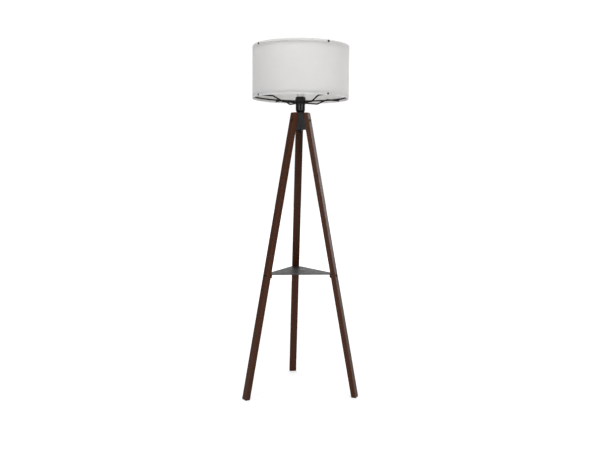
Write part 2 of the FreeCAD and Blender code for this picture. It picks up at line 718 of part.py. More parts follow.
def arm_path(sketch, start, end):
    """The bent line of a carrier arm: level, up a slope and level again."""
    low, high = CENTRE_WIRE, LOW_RIVET
    rise = f"atan(({high} - {low}) / (dims.arm_rise_radius - dims.arm_drop_radius))"
    trim = f"(dims.arm_bend_radius * tan({rise} / 2))"
    stops = [(start, low), (f"dims.arm_drop_radius - {trim}", low),
             (f"dims.arm_drop_radius + {trim} * cos({rise})", f"{low} + {trim} * sin({rise})"),
             (f"dims.arm_rise_radius - {trim} * cos({rise})", f"{high} - {trim} * sin({rise})"),
             (f"dims.arm_rise_radius + {trim}", high), (end, high)]
    points = [Vector(number(x), number(y), 0) for x, y in stops]
    for index in (0, 2, 4):
        line = sketch.addGeometry(Part.LineSegment(points[index], points[index + 1]), False)
        pin_point(sketch, line, 1, stops[index])
        pin_point(sketch, line, 2, stops[index + 1])
    angle, radius = number(f"{rise} / 1 rad"), number("dims.arm_bend_radius")
    quarter = number("pi") / 2
    lower_bend = Part.Circle(points[1] + Vector(0, radius, 0), UP, radius)
    upper_bend = Part.Circle(points[4] - Vector(0, radius, 0), UP, radius)
    bends = [(Part.ArcOfCircle(lower_bend, -quarter, angle - quarter), (0, 2), (1, 1)),
             (Part.ArcOfCircle(upper_bend, quarter, quarter + angle), (2, 1), (1, 2))]
    for arc, first_end, second_end in bends:
        index = sketch.addGeometry(arc, False)
        sketch.addConstraint(Sketcher.Constraint("Coincident", index, 1, *first_end))
        sketch.addConstraint(Sketcher.Constraint("Coincident", index, 2, *second_end))
        bind(sketch, "Radius", index, size="dims.arm_bend_radius")


def arm_place(index):
    """The side of the lamp that a carrier arm, its clips and its rivets are turned to."""
    return towards(number("dims.shade_turned") + ARM_STEP * index)


def carrier_arm(index):
    """One arm of the shade carrier, welded to the centre ring and under the lower ring."""
    body = new_body(f"carrier_arm_{index + 1}", arm_place(index))
    start = f"({CENTRE_RING} + dims.wire_radius - dims.wire_weld)"
    path = new_sketch(body)
    arm_path(path, start, WIRE_RING)
    section = new_sketch(body, "YZ_Plane", start)
    circle(section, ("0", CENTRE_WIRE), "dims.wire_radius")
    pipe = body.newObject("PartDesign::AdditivePipe", f"{body.Name}_wire")
    pipe.Profile = section
    pipe.Spine = path


def clip(level, index, rivet_height, ring_height, holds_arm):
    """A moulded clip that holds the ring wire and takes the rivet."""
    body = new_body(f"{level}_clip_{index + 1}", arm_place(index))
    outer = f"({SHADE_INNER} - dims.clip_gap)"
    back = f"({WIRE_RING} - dims.wire_radius - dims.clip_back)"
    half_width = "(dims.wire_radius + dims.clip_side)"
    length = f"({RING_STEP} + 2 * (dims.wire_radius + dims.clip_wall))"
    block = new_sketch(body, "XY_Plane", f"({rivet_height} + {ring_height} - {length}) / 2")
    polygon(block, box_corners((back, f"-{half_width}"), (outer, half_width)))
    padded(body, block, length)
    groove = new_sketch(body)
    circle(groove, (WIRE_RING, ring_height), "dims.wire_radius")
    turned_feature(body, groove, "PartDesign::Groove")
    rivet_hole = new_sketch(body, "YZ_Plane", outer)
    circle(rivet_hole, ("0", rivet_height), "dims.rivet_radius")
    pocketed(body, rivet_hole, "dims.rivet_depth - dims.shade_sheet")
    if holds_arm:
        socket = new_sketch(body, "YZ_Plane", WIRE_RING)
        circle(socket, ("0", rivet_height), "dims.wire_radius")
        pocketed(body, socket, f"{WIRE_RING} - {back}")
    return body


def rivet(level, index, height):
    """A snap rivet through the shade into its clip."""
    spot = Placement(Vector(number("dims.shade_radius"), 0, number(height)), Rotation(ACROSS, 90))
    depth = "-(dims.rivet_depth - dims.clip_gap)"
    body = turned_body(f"{level}_rivet_{index + 1}", [
        ("0", depth), ("dims.rivet_radius", depth), ("dims.rivet_radius", "0"),
        ("dims.rivet_head_radius", "0"), ("dims.rivet_head_radius", "dims.rivet_head_height"),
        ("0", "dims.rivet_head_height")], arm_place(index).multiply(spot))
    crown = number("dims.rivet_head_height")
    rounded(body, "dims.rivet_head_round", lambda edge: at_height(edge, crown))
    return body


def shade_panel():
    """The drum of laminated fabric, pierced for the rivets."""
    body = new_body("shade_panel", towards(number("dims.shade_turned")))
    drum = new_sketch(body, "XY_Plane", SHADE_BOTTOM)
    circle(drum, ("0", "0"), "dims.shade_radius")
    circle(drum, ("0", "0"), SHADE_INNER)
    padded(body, drum, "dims.shade_height")
    for plane in ("YZ_Plane", "XZ_Plane"):
        holes = new_sketch(body, plane)
        circle(holes, ("0", LOW_RIVET), "dims.rivet_radius")
        circle(holes, ("0", HIGH_RIVET), "dims.rivet_radius")
        pocketed(body, holes)


def shade():
    """The shade with its rings, carrier arms, clips and rivets."""
    shade_panel()
    wire_ring("top_ring", WIRE_RING, HIGH_RING)
    wire_ring("bottom_ring", WIRE_RING, LOW_RING)
    wire_ring("centre_ring", CENTRE_RING, CENTRE_WIRE)
    for index in range(ARM_COUNT):
        carrier_arm(index)
    levels = (("top", HIGH_RIVET, HIGH_RING, False), ("bottom", LOW_RIVET, LOW_RING, True))
    for level, rivet_height, ring_height, holds_arm in levels:
        group(f"{level}_clips", [clip(level, index, rivet_height, ring_height, holds_arm)
                                 for index in range(ARM_COUNT)])
        group(f"{level}_rivets", [rivet(level, index, rivet_height) for index in range(ARM_COUNT)])


def bulb():
    """A light bulb: contact, insulator, threaded cap, housing and diffusing globe."""
    tip_top = f"({BULB_BOTTOM} + dims.bulb_tip_height)"
    turned_body("bulb_contact", box_corners(("0", BULB_BOTTOM), ("dims.bulb_tip_radius", tip_top)))
    inner = "(dims.bulb_cap_radius - dims.bulb_cap_wall)"
    turned_body("bulb_insulator", [
        ("0", tip_top), ("dims.bulb_tip_radius", tip_top), (inner, BULB_CAP_BOTTOM), ("0", BULB_CAP_BOTTOM)])
    cap = turned_body("bulb_cap", box_corners(("0", BULB_CAP_BOTTOM), ("dims.bulb_cap_radius", BULB_CAP_TOP)))
    for turn in range(int(number("dims.bulb_thread_turns"))):
        groove = new_sketch(cap)
        height = f"{BULB_CAP_BOTTOM} + dims.bulb_thread_pitch * {turn + 1} - dims.bulb_thread_radius"
        circle(groove, ("dims.bulb_cap_radius + dims.bulb_thread_depth", height),
               "dims.bulb_thread_radius")
        turned_feature(cap, groove, "PartDesign::Groove")
    neck_top = f"({BULB_CAP_TOP} + dims.bulb_neck_height)"
    turned_body("bulb_housing", [
        ("0", BULB_CAP_TOP), (BULB_NECK, BULB_CAP_TOP), (f"{BULB_NECK} + dims.bulb_neck_spread", neck_top),
        ("dims.bulb_rim_radius", BULB_RIM), ("0", BULB_RIM)])
    latitude = "-acos(dims.bulb_rim_radius / dims.bulb_radius)"
    spheres = []
    for name, radius in (("globe_outside", "dims.bulb_radius"),
                         ("globe_inside", "dims.bulb_radius - dims.bulb_wall")):
        sphere = document.addObject("Part::Sphere", name)
        sphere.setExpression("Radius", radius)
        sphere.setExpression("Angle1", latitude)
        sphere.setExpression("Placement.Base.z", BULB_CENTRE)
        spheres.append(sphere)
    globe = document.addObject("Part::Cut", "bulb_globe")
    globe.Label = "bulb_globe"
    globe.Base, globe.Tool = spheres


for side, angle in LEGS.items():
    leg(side, angle)
    glide(side, angle)
hub_shell()
hub_cover()
leg_fasteners("hub", HUB_BOLT, "dims.hub_wall")
tray()
leg_fasteners("tray", TRAY_BOLT, "dims.tab_sheet")
threaded_tube()
lampholder_cap()
lampholder_barrel()
lampholder_inside()
retaining_ring()
shade()
bulb()
document.recompute()

failed = [item.Label for item in document.Objects if {"Invalid", "Error"} & set(item.State)]
if failed:
    raise RuntimeError(f"features that failed: {failed}")

groups = [item for item in document.Objects if item.isDerivedFrom("Part::Compound")]
used_inside = {member.Name for item in groups for member in item.Links}
used_inside |= {"globe_outside", "globe_inside"}
kinds = ("PartDesign::Body", "Part::Compound", "Part::Torus", "Part::Cut")
pieces = [item for item in document.Objects if item.TypeId in kinds and item.Name not in used_inside]
for piece in pieces:
    if piece.Shape.isNull() or not piece.Shape.isValid():
        raise RuntimeError(f"{piece.Label} has no valid solid")

os.makedirs("parts", exist_ok=True)
for piece in pieces:
    piece.Shape.exportStep(f"parts/{piece.Label}.step")
    print(f"{piece.Label}: {len(piece.Shape.Solids)} solid(s), {piece.Shape.Volume / 1000:.2f} cm3")
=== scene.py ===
# %% [markdown]
# # A tripod floor lamp, finished in Blender
# The lamp has three walnut legs, a black cast hub, a steel tray, a black lampholder and a fabric
# drum on a wire frame. The engineering model gives every piece its size and place, so it is loaded
# first as a fixed frame. This lesson then makes the finishes, and rebuilds the pieces whose real
# surface has more in it than the engineering model: cloth, threads, castings and mouldings.

# %% Load the frame
import json
import math
import random

import bmesh
import bpy
from mathutils import Matrix, Vector, noise


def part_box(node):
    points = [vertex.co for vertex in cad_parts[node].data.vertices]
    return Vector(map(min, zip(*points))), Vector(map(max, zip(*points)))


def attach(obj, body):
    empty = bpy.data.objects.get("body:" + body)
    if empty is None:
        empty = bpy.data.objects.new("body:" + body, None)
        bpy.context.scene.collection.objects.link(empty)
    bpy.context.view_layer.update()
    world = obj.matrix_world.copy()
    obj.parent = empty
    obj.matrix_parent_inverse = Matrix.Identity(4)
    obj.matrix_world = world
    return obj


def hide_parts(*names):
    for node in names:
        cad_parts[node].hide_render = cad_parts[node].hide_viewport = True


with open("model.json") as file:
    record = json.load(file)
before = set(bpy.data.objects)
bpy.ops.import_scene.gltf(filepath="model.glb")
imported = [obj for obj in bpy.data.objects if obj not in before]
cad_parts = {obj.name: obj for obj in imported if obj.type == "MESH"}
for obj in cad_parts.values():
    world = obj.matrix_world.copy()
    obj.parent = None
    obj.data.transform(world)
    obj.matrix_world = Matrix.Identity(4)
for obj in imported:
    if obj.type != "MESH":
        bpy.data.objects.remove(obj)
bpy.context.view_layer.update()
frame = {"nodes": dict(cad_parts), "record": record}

MM = 0.001

# %% [markdown]
# ## Reading places off the frame
# Nothing is placed by eye. Each new piece asks the frame where the old one stood: its lowest and
# highest point, and how far it reaches from the lamp's axis. Most of the lamp's small parts are
# turned about that axis, so those three numbers place them.

# %% Ask the frame for heights and radii
def bottom_of(node):
    """The lowest height of a piece of the frame."""
    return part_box(node)[0].z


def top_of(node):
    """The highest height of a piece of the frame."""
    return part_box(node)[1].z


def reach_of(node):
    """How far a piece about the lamp's axis reaches from it."""
    low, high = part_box(node)
    return max(high.x, high.y, -low.x, -low.y)


def hole_of(node):
    """How near to the lamp's axis a piece about it comes."""
    return min(vertex.co.xy.length for vertex in frame["nodes"][node].data.vertices)


def around_axis(radius, height, angle):
    """The point at a radius, a height and an angle about the lamp's axis."""
    return Vector((radius * math.cos(angle), radius * math.sin(angle), height))


bodies = frame["record"]["behaviour"]["bodies"]
body_of_node = {node: body for body, nodes in bodies.items() for node in nodes}
print("shade radius:", round(reach_of("shade_panel"), 4), "m")
print("shade height:", round(bottom_of("shade_panel"), 4), "to", round(top_of("shade_panel"), 4), "m")

# %% [markdown]
# ## Small helpers for shader nodes
# A finish is a network of nodes. Adding each node by hand takes three lines a socket, so a few short
# helpers do it: `put` adds a node and fills its inputs, from a plain value or from another node's
# output, and `maths` adds one sum. `layer` lays one colour over another where a mask is bright, as
# a painter glazes one coat over the last.

# %% Helpers that add nodes
def put(tree, kind, inputs=None, **settings):
    """Adds a node, sets its settings, and fills its inputs with values or with other outputs."""
    node = tree.nodes.new(kind)
    for name, value in settings.items():
        setattr(node, name, value)
    for name, value in (inputs or {}).items():
        if isinstance(value, bpy.types.NodeSocket):
            tree.links.new(value, node.inputs[name])
        else:
            node.inputs[name].default_value = value
    return node


def maths(tree, operation, first, second=0.0):
    """One sum of two numbers, and its result."""
    return put(tree, "ShaderNodeMath", {0: first, 1: second}, operation=operation).outputs[0]


def vector_maths(tree, operation, first, second=(0.0, 0.0, 0.0), result="Vector"):
    """One sum of two vectors, and its result."""
    return put(tree, "ShaderNodeVectorMath", {0: first, 1: second}, operation=operation).outputs[result]


def blend_number(tree, share, first, second):
    """A number that goes from first to second as share goes from 0 to 1."""
    ends = {"Value": share, "To Min": first, "To Max": second}
    return put(tree, "ShaderNodeMapRange", ends).outputs["Result"]


def threshold(tree, value, low, high):
    """0 below low, 1 above high, and a smooth step in between."""
    ends = {"Value": value, "From Min": low, "From Max": high}
    return put(tree, "ShaderNodeMapRange", ends, interpolation_type="SMOOTHSTEP").outputs["Result"]


def blend_colour(tree, share, first, second):
    """A colour that goes from first to second as share goes from 0 to 1."""
    node = put(tree, "ShaderNodeMix", {"Factor": share}, data_type="RGBA")
    for socket, value in zip((node.inputs[6], node.inputs[7]), (first, second)):
        if isinstance(value, bpy.types.NodeSocket):
            tree.links.new(value, socket)
        else:
            socket.default_value = (*value, 1.0)
    return node.outputs[2]


def layer(tree, mask, share, below, colour):
    """Lays a colour over another where the mask is bright, at a share of its full strength."""
    return blend_colour(tree, maths(tree, "MULTIPLY", mask, share), below, colour)


def varied(tree, value, mask, low, high):
    """A value that is moved by low to high as the mask goes from 0 to 1."""
    return maths(tree, "ADD", value, blend_number(tree, mask, low, high))


def cloudiness(tree, vector, size=1.0, detail=2.0, roughness=0.5, result="Fac"):
    """Soft noise from 0 to 1, in patches about `size` across: a number, or another node's output."""
    scale = 1.0 / size if isinstance(size, float) else maths(tree, "DIVIDE", 1.0, size)
    values = {"Vector": vector, "Scale": scale, "Detail": detail, "Roughness": roughness}
    return put(tree, "ShaderNodeTexNoise", values).outputs[result]


def stretched(tree, vector, *factors):
    """The same point, with each direction pressed or pulled by its own factor."""
    return vector_maths(tree, "MULTIPLY", vector, factors)


def split(tree, vector):
    """The three numbers of a point, by name."""
    return put(tree, "ShaderNodeSeparateXYZ", {0: vector}).outputs


def joined(tree, **numbers):
    """A point from some of its three numbers."""
    return put(tree, "ShaderNodeCombineXYZ", numbers).outputs[0]


def length_of(tree, vector):
    """How long a vector is."""
    return vector_maths(tree, "LENGTH", vector, result="Value")


print("node helpers ready")

# %% [markdown]
# ## Finishes that several materials share
# Rubbed edges, fine grain, settled dust and turning marks each turn up on more than one piece. Each
# becomes a node group: a small machine with named inputs and outputs, built once and dropped into
# any material. The groups give only masks, colours and heights. The shader itself stays in the
# material, where its gloss can be read at a glance.

# %% A helper that opens a node group
def new_group(name, inputs, outputs):
    """An empty node group with its sockets, and the outputs of its entry and inputs of its exit."""
    group = bpy.data.node_groups.new(name, "ShaderNodeTree")
    for label, value in inputs.items():
        kind = "NodeSocketVector" if value is None else "NodeSocketFloat"
        socket = group.interface.new_socket(name=label, in_out="INPUT", socket_type=kind)
        if value is not None:
            socket.default_value = value
    for label in outputs:
        group.interface.new_socket(name=label, in_out="OUTPUT", socket_type="NodeSocketFloat")
    entry = group.nodes.new("NodeGroupInput").outputs
    leave = group.nodes.new("NodeGroupOutput").inputs
    return group, entry, leave


def give(group, leave, **results):
    """Wires the results of a group to its outputs, and says what was made."""
    for label, value in results.items():
        group.links.new(value, leave[label])
    print("group:", group.name, "gives", list(results))
    return group


def use(tree, group, **values):
    """Places a group in a material with its own values, and gives its outputs."""
    node = tree.nodes.new("ShaderNodeGroup")
    node.node_tree = group
    for name, value in values.items():
        label = name.replace("_", " ")
        if isinstance(value, bpy.types.NodeSocket):
            tree.links.new(value, node.inputs[label])
        else:
            node.inputs[label].default_value = value
    return node.outputs


# %% [markdown]
# Edges are where hands and boxes rub, so paint thins there first. The Bevel node gives the normal
# that a rounded edge would have: where it differs from the true normal, there is an edge. Noise
# breaks that line up, because real wear is never even.

# %% The rubbed-edge group
edge_inputs = {"Vector": None, "Width": 0.001, "Patch": 0.012}
tree, entry, leave = new_group("rubbed edges", edge_inputs, ["Mask"])
rounded_normal = put(tree, "ShaderNodeBevel", {"Radius": entry["Width"]}, samples=4).outputs["Normal"]
true_normal = put(tree, "ShaderNodeNewGeometry").outputs["Normal"]
agreement = vector_maths(tree, "DOT_PRODUCT", rounded_normal, true_normal, result="Value")
edge_line = threshold(tree, maths(tree, "SUBTRACT", 1.0, agreement), 0.02, 0.2)
worn = threshold(tree, cloudiness(tree, entry["Vector"], entry["Patch"], detail=3.0), 0.35, 0.7)
edge_group = give(tree, leave, Mask=maths(tree, "MULTIPLY", edge_line, worn))

# %% [markdown]
# Powder coat and moulded plastic are never quite smooth. Powder coat flows into a faint orange
# peel, and a mould is spark-eroded to a fine grain. Both are small noise in height, together with
# slow patches that change the gloss.

# %% The fine-grain group
grain_inputs = {"Vector": None, "Size": 0.0006, "Patch": 0.02}
tree, entry, leave = new_group("fine grain", grain_inputs, ["Height", "Patches", "Specks"])
grain_noise = cloudiness(tree, entry["Vector"], entry["Size"])
cells = {"Vector": entry["Vector"], "Scale": maths(tree, "DIVIDE", 1.0, entry["Size"])}
grain_cells = put(tree, "ShaderNodeTexVoronoi", cells, feature="SMOOTH_F1").outputs["Distance"]
grain_patches = cloudiness(tree, entry["Vector"], entry["Patch"], detail=3.0)
specks = threshold(tree, grain_noise, 0.62, 0.74)
patches = threshold(tree, grain_patches, 0.3, 0.7)
height = maths(tree, "ADD", grain_noise, grain_cells)
grain_group = give(tree, leave, Height=height, Patches=patches, Specks=specks)

# %% [markdown]
# Dust settles on what faces up. The surface's own normal says how far up it faces, and noise gathers
# the dust into soft drifts.

# %% The settled-dust group
tree, entry, leave = new_group("settled dust", {"Vector": None, "Patch": 0.03}, ["Mask"])
facing = split(tree, put(tree, "ShaderNodeNewGeometry").outputs["Normal"])
upwards = threshold(tree, facing["Z"], 0.4, 0.95)
drifts = cloudiness(tree, entry["Vector"], entry["Patch"], detail=5.0, roughness=0.65)
settled = maths(tree, "MULTIPLY", upwards, threshold(tree, drifts, 0.3, 0.75))
dust_group = give(tree, leave, Mask=settled)

# %% [markdown]
# A part turned on a lathe, or moulded in a turned mould, keeps fine rings about its axis. Noise that
# is read only by radius and height is the same all round, so it draws such rings.

# %% The turning-marks group
turned_inputs = {"Vector": None, "Spacing": 0.0003}
tree, entry, leave = new_group("turning marks", turned_inputs, ["Height", "Streaks"])
spot = split(tree, entry["Vector"])
radius_here = length_of(tree, joined(tree, X=spot["X"], Y=spot["Y"]))
ring_place = joined(tree, X=radius_here, Z=spot["Z"])
ring_noise = cloudiness(tree, ring_place, entry["Spacing"])
turned_group = give(tree, leave, Height=ring_noise, Streaks=threshold(tree, ring_noise, 0.35, 0.65))

# %% [markdown]
# Walnut is drawn as a solid block, not as a picture on its faces: growth rings are cylinders about a
# pith that lay beside the board, bent by slow noise. Any face cut through them then shows the right
# figure by itself, with arches on the wide faces, straight lines on the narrow ones and arcs on the
# ends. Pores are noise stretched forty times along the grain.

# %% The wood-grain group
wood_inputs = {"Vector": None, "Ring width": 0.0028, "Pith distance": 0.045, "Waviness": 0.006}
tree, entry, leave = new_group("wood grain", wood_inputs, ["Rings", "Pores", "Streaks", "Height"])
log_point = entry["Vector"]
bend = cloudiness(tree, stretched(tree, log_point, 14.0, 14.0, 2.2), detail=3.0, result="Color")
bend = vector_maths(tree, "SUBTRACT", bend, (0.5, 0.5, 0.5))
bend = put(tree, "ShaderNodeVectorMath", {0: bend, "Scale": entry["Waviness"]}, operation="SCALE")
bent = split(tree, vector_maths(tree, "ADD", log_point, bend.outputs[0]))
from_pith = maths(tree, "ADD", bent["X"], entry["Pith distance"])
pith_radius = length_of(tree, joined(tree, X=from_pith, Y=bent["Y"]))
ring_count = maths(tree, "DIVIDE", pith_radius, entry["Ring width"])
late_wood = maths(tree, "POWER", maths(tree, "FRACT", ring_count), 2.5)
year = maths(tree, "FLOOR", ring_count)
year_tone = put(tree, "ShaderNodeTexWhiteNoise", {"W": year}, noise_dimensions="1D").outputs["Value"]
rings = maths(tree, "MULTIPLY", late_wood, blend_number(tree, year_tone, 0.45, 1.0))
pore_noise = cloudiness(tree, stretched(tree, log_point, 2600.0, 2600.0, 65.0), detail=1.0)
pores = threshold(tree, pore_noise, 0.6, 0.72)
pores = maths(tree, "MULTIPLY", pores, blend_number(tree, late_wood, 1.0, 0.35))
streaks = cloudiness(tree, stretched(tree, log_point, 90.0, 90.0, 3.0), detail=4.0, roughness=0.6)
height = maths(tree, "SUBTRACT", maths(tree, "MULTIPLY", rings, 0.25), pores)
wood_group = give(tree, leave, Rings=rings, Pores=pores, Streaks=streaks, Height=height)

# %% [markdown]
# Shade cloth is a plain weave: threads go over and under in turn, like a chessboard of tiny
# cushions. The drum is a cylinder, so the weave is counted along its circumference and its height.
# Now and then a yarn is thicker, which weavers call a slub, and it shows as a faint streak.

# %% The weave group
weave_inputs = {"Vector": None, "Drum radius": 0.2, "Thread": 0.00055}
tree, entry, leave = new_group("plain weave", weave_inputs, ["Height", "Gaps", "Slubs"])
spot = split(tree, entry["Vector"])
turn = maths(tree, "ARCTAN2", spot["Y"], spot["X"])
around = maths(tree, "MULTIPLY", turn, entry["Drum radius"])


def thread_row(distance):
    """Which thread a distance has reached, and how high that round thread is there."""
    count = maths(tree, "DIVIDE", distance, entry["Thread"])
    wave = maths(tree, "SINE", maths(tree, "MULTIPLY", count, math.pi))
    return maths(tree, "FLOOR", count), maths(tree, "ABSOLUTE", wave)


warp_row, warp = thread_row(around)
weft_row, weft = thread_row(spot["Z"])
chequer = maths(tree, "MODULO", maths(tree, "ADD", warp_row, weft_row), 2.0)
over = maths(tree, "ABSOLUTE", chequer)
under = maths(tree, "SUBTRACT", 1.0, over)
thread_height = maths(tree, "ADD", maths(tree, "MULTIPLY", over, warp),
                      maths(tree, "MULTIPLY", under, weft))
flat_place = joined(tree, X=around, Y=spot["Z"])
thick_weft = cloudiness(tree, stretched(tree, flat_place, 12.0, 900.0, 1.0))
thick_warp = cloudiness(tree, stretched(tree, flat_place, 900.0, 9.0, 1.0))
slubs = maths(tree, "MAXIMUM", threshold(tree, thick_weft, 0.58, 0.78),
              threshold(tree, thick_warp, 0.62, 0.82))
gaps = maths(tree, "SUBTRACT", 1.0, threshold(tree, thread_height, 0.0, 0.5))
weave_group = give(tree, leave, Height=thread_height, Gaps=gaps, Slubs=slubs)

# %% [markdown]
# ## The finishes
# Every material starts the same way: a Principled shader, and the point on the piece that its
# patterns are read at. That point is taken in the piece's own space, so the pattern stays on the
# piece when the shade or the bulb turns.

# %% A helper that opens a material
def new_finish(name, **sockets):
    """A material with a Principled shader: its tree, its shader and the point its patterns read."""
    finish = bpy.data.materials.new(name)
    finish.use_nodes = True
    tree = finish.node_tree
    shader = tree.nodes["Principled BSDF"]
    for label, value in sockets.items():
        shader.inputs[label.replace("_", " ")].default_value = value
    point = put(tree, "ShaderNodeTexCoord").outputs["Object"]
    return finish, tree, shader.inputs, point


def raise_surface(tree, sockets, height, depth):
    """Feeds a height to the shader's normal, as relief of a depth in metres."""
    bump = put(tree, "ShaderNodeBump", {"Height": height, "Distance": depth, "Strength": 1.0})
    tree.links.new(bump.outputs["Normal"], sockets["Normal"])


finishes = {}

# %% [markdown]
# ### Walnut
# The legs are stained walnut under a thin satin lacquer. Each leg was cut from its own board, so
# each gets its own material with its own piece of the wood block. The block is turned and tilted so
# that its grain runs up that leg. The stain sinks into the pores and darkens them, and edges that
# were sanded through the stain are a little paler.

# %% The walnut of each leg
HEART_BROWN = (0.050, 0.0142, 0.0056)
EARLY_BROWN = (0.083, 0.0275, 0.0118)
PORE_BROWN = (0.020, 0.006, 0.003)
RUBBED_BROWN = (0.15, 0.066, 0.036)
PALE_DUST = (0.4, 0.37, 0.33)
LEG_SIDES = {"back": 90.0, "left": 210.0, "right": 330.0}


def leg_middle(side, share):
    """A point on the middle line of a leg, from its foot (0) to its top (1)."""
    corners = [vertex.co for vertex in frame["nodes"][f"leg_{side}"].data.vertices]
    low, high = bottom_of(f"leg_{side}"), top_of(f"leg_{side}")
    ends = []
    for level in (low, high):
        near = [corner for corner in corners if abs(corner.z - level) < MM]
        ends.append(sum(near, Vector()) / len(near))
    return ends[0].lerp(ends[1], share)


def along_leg(side):
    """The turn that brings a leg's length upright and its outer face towards X."""
    up = (leg_middle(side, 1.0) - leg_middle(side, 0.0)).normalized()
    outwards = around_axis(1.0, 0.0, math.radians(LEG_SIDES[side]))
    outwards = (outwards - up * outwards.dot(up)).normalized()
    return Matrix((outwards, up.cross(outwards), up)).to_euler("XYZ")


def walnut(side, shift):
    """Walnut whose grain runs up one leg."""
    finish, tree, sockets, point = new_finish(f"walnut_{side}", Specular_IOR_Level=0.17)
    lie = {"Vector": point, "Rotation": along_leg(side), "Location": shift}
    board = put(tree, "ShaderNodeMapping", lie)
    wood = use(tree, wood_group, Vector=board.outputs["Vector"])
    grain = use(tree, grain_group, Vector=point, Size=0.0008, Patch=0.06)
    rubbed = use(tree, edge_group, Vector=point, Width=0.0012, Patch=0.03)
    dust = use(tree, dust_group, Vector=point)
    colour = blend_colour(tree, wood["Rings"], EARLY_BROWN, HEART_BROWN)
    tone = threshold(tree, wood["Streaks"], 0.3, 0.75)
    colour = layer(tree, tone, 0.55, colour, HEART_BROWN)
    colour = layer(tree, wood["Pores"], 0.75, colour, PORE_BROWN)
    colour = layer(tree, rubbed["Mask"], 0.6, colour, RUBBED_BROWN)
    colour = layer(tree, dust["Mask"], 0.06, colour, PALE_DUST)
    tree.links.new(colour, sockets["Base Color"])
    gloss = blend_number(tree, wood["Pores"], 0.34, 0.56)
    tree.links.new(varied(tree, gloss, grain["Patches"], -0.04, 0.05), sockets["Roughness"])
    raise_surface(tree, sockets, wood["Height"], 0.00012)
    return finish


random.seed(7)
for side in LEG_SIDES:
    shift = [random.uniform(0.2, 2.0) * factor for factor in (0.004, 0.004, 1.0)]
    finishes[f"leg_{side}"] = walnut(side, shift)
print("walnut:", [finish.name for finish in finishes.values()])

# %% [markdown]
# ### Black coatings
# The hub, the tray, the wire and the bolts are all black, but not the same black. The casting has a
# coarse satin powder coat, the tray a smoother lacquer, the wire a thin enamel, and the bolts a
# dark oxide that shows the steel through. One recipe makes them all, with its own size of grain,
# its own gloss and its own colour where it is rubbed.

# %% The coating recipe
GREY_DUST = (0.32, 0.31, 0.29)


def coating(name, colour, rubbed_colour, gloss, size, depth, specular, metal=0.0, wear=0.7, dust_share=0.1):
    """A black coating on metal: grain, uneven gloss, rubbed edges and a little dust."""
    finish, tree, sockets, point = new_finish(name, Metallic=metal, Specular_IOR_Level=specular)
    grain = use(tree, grain_group, Vector=point, Size=size, Patch=0.025)
    rubbed = use(tree, edge_group, Vector=point, Width=0.0009, Patch=0.008)
    dust = use(tree, dust_group, Vector=point)
    lighter = tuple(channel * 1.5 for channel in colour)
    shown = blend_colour(tree, grain["Patches"], colour, lighter)
    shown = layer(tree, grain["Specks"], 0.25, shown, rubbed_colour)
    shown = layer(tree, rubbed["Mask"], wear, shown, rubbed_colour)
    shown = layer(tree, dust["Mask"], dust_share, shown, GREY_DUST)
    tree.links.new(shown, sockets["Base Color"])
    uneven = varied(tree, gloss, grain["Patches"], -0.05, 0.06)
    uneven = maths(tree, "ADD", uneven, maths(tree, "MULTIPLY", dust["Mask"], 0.15))
    tree.links.new(uneven, sockets["Roughness"])
    raise_surface(tree, sockets, grain["Height"], depth)
    return finish


finishes["black_metal"] = coating(
    "hub_powder_coat", (0.012, 0.012, 0.013), (0.060, 0.060, 0.063), 0.46, 0.0007, 0.00006, 0.28)
finishes["tray_metal"] = coating(
    "tray_lacquer", (0.020, 0.020, 0.021), (0.10, 0.10, 0.105), 0.36, 0.0005, 0.000012, 0.5,
    dust_share=0.08)
finishes["black_wire"] = coating(
    "wire_enamel", (0.006, 0.006, 0.0065), (0.035, 0.035, 0.035), 0.42, 0.0009, 0.00003, 0.12,
    wear=0.4, dust_share=0.04)
finishes["black_screw"] = coating(
    "bolt_oxide", (0.014, 0.0135, 0.014), (0.12, 0.115, 0.11), 0.38, 0.0004, 0.00001, 0.3, metal=0.5)
print("coatings:", [name for name in finishes if not name.startswith("leg_")])

# %% [markdown]
# ### Bare metals
# The washers and nuts are zinc plated, the contacts and terminals are brass, and the bulb's screw cap
# is bright nickel. A turned or pressed metal part keeps its turning marks, and its plating dulls in
# patches.

# %% The bare-metal recipe
def bare_metal(name, bright, dull, gloss):
    """A metal with turning marks, dull patches and brighter edges."""
    finish, tree, sockets, point = new_finish(name, Metallic=1.0)
    marks = use(tree, turned_group, Vector=point, Spacing=0.00035)
    grain = use(tree, grain_group, Vector=point, Size=0.0004, Patch=0.004)
    rubbed = use(tree, edge_group, Vector=point, Width=0.0004, Patch=0.004)
    shown = blend_colour(tree, grain["Patches"], bright, dull)
    edge_colour = tuple(min(1.0, channel * 1.25) for channel in bright)
    tree.links.new(layer(tree, rubbed["Mask"], 0.6, shown, edge_colour), sockets["Base Color"])
    uneven = varied(tree, gloss, grain["Patches"], -0.05, 0.12)
    tree.links.new(varied(tree, uneven, marks["Streaks"], -0.03, 0.05), sockets["Roughness"])
    raise_surface(tree, sockets, marks["Height"], 0.00001)
    return finish


finishes["zinc"] = bare_metal("zinc_plate", (0.56, 0.57, 0.58), (0.40, 0.41, 0.43), 0.32)
finishes["brass"] = bare_metal("brass_pressing", (0.74, 0.52, 0.22), (0.42, 0.27, 0.11), 0.3)
finishes["bulb_metal"] = bare_metal("nickel_cap", (0.68, 0.66, 0.62), (0.50, 0.48, 0.45), 0.24)
print("metals: zinc, brass, bulb_metal")

# %% [markdown]
# ### Moulded parts
# The lampholder is glossy black bakelite. The rivets and glides are dull black nylon, and the clips
# are nylon in its natural white, which hides them against the cloth. The bulb's housing is white
# plastic and the insulator is glazed porcelain. Bakelite has a wood-flour filler that shows as faint
# brown flecks, and glaze has tiny pinholes. One recipe covers them, with its own grain, flecks and
# gloss.

# %% The moulding recipe
WHITE_DUST = (0.4, 0.39, 0.37)


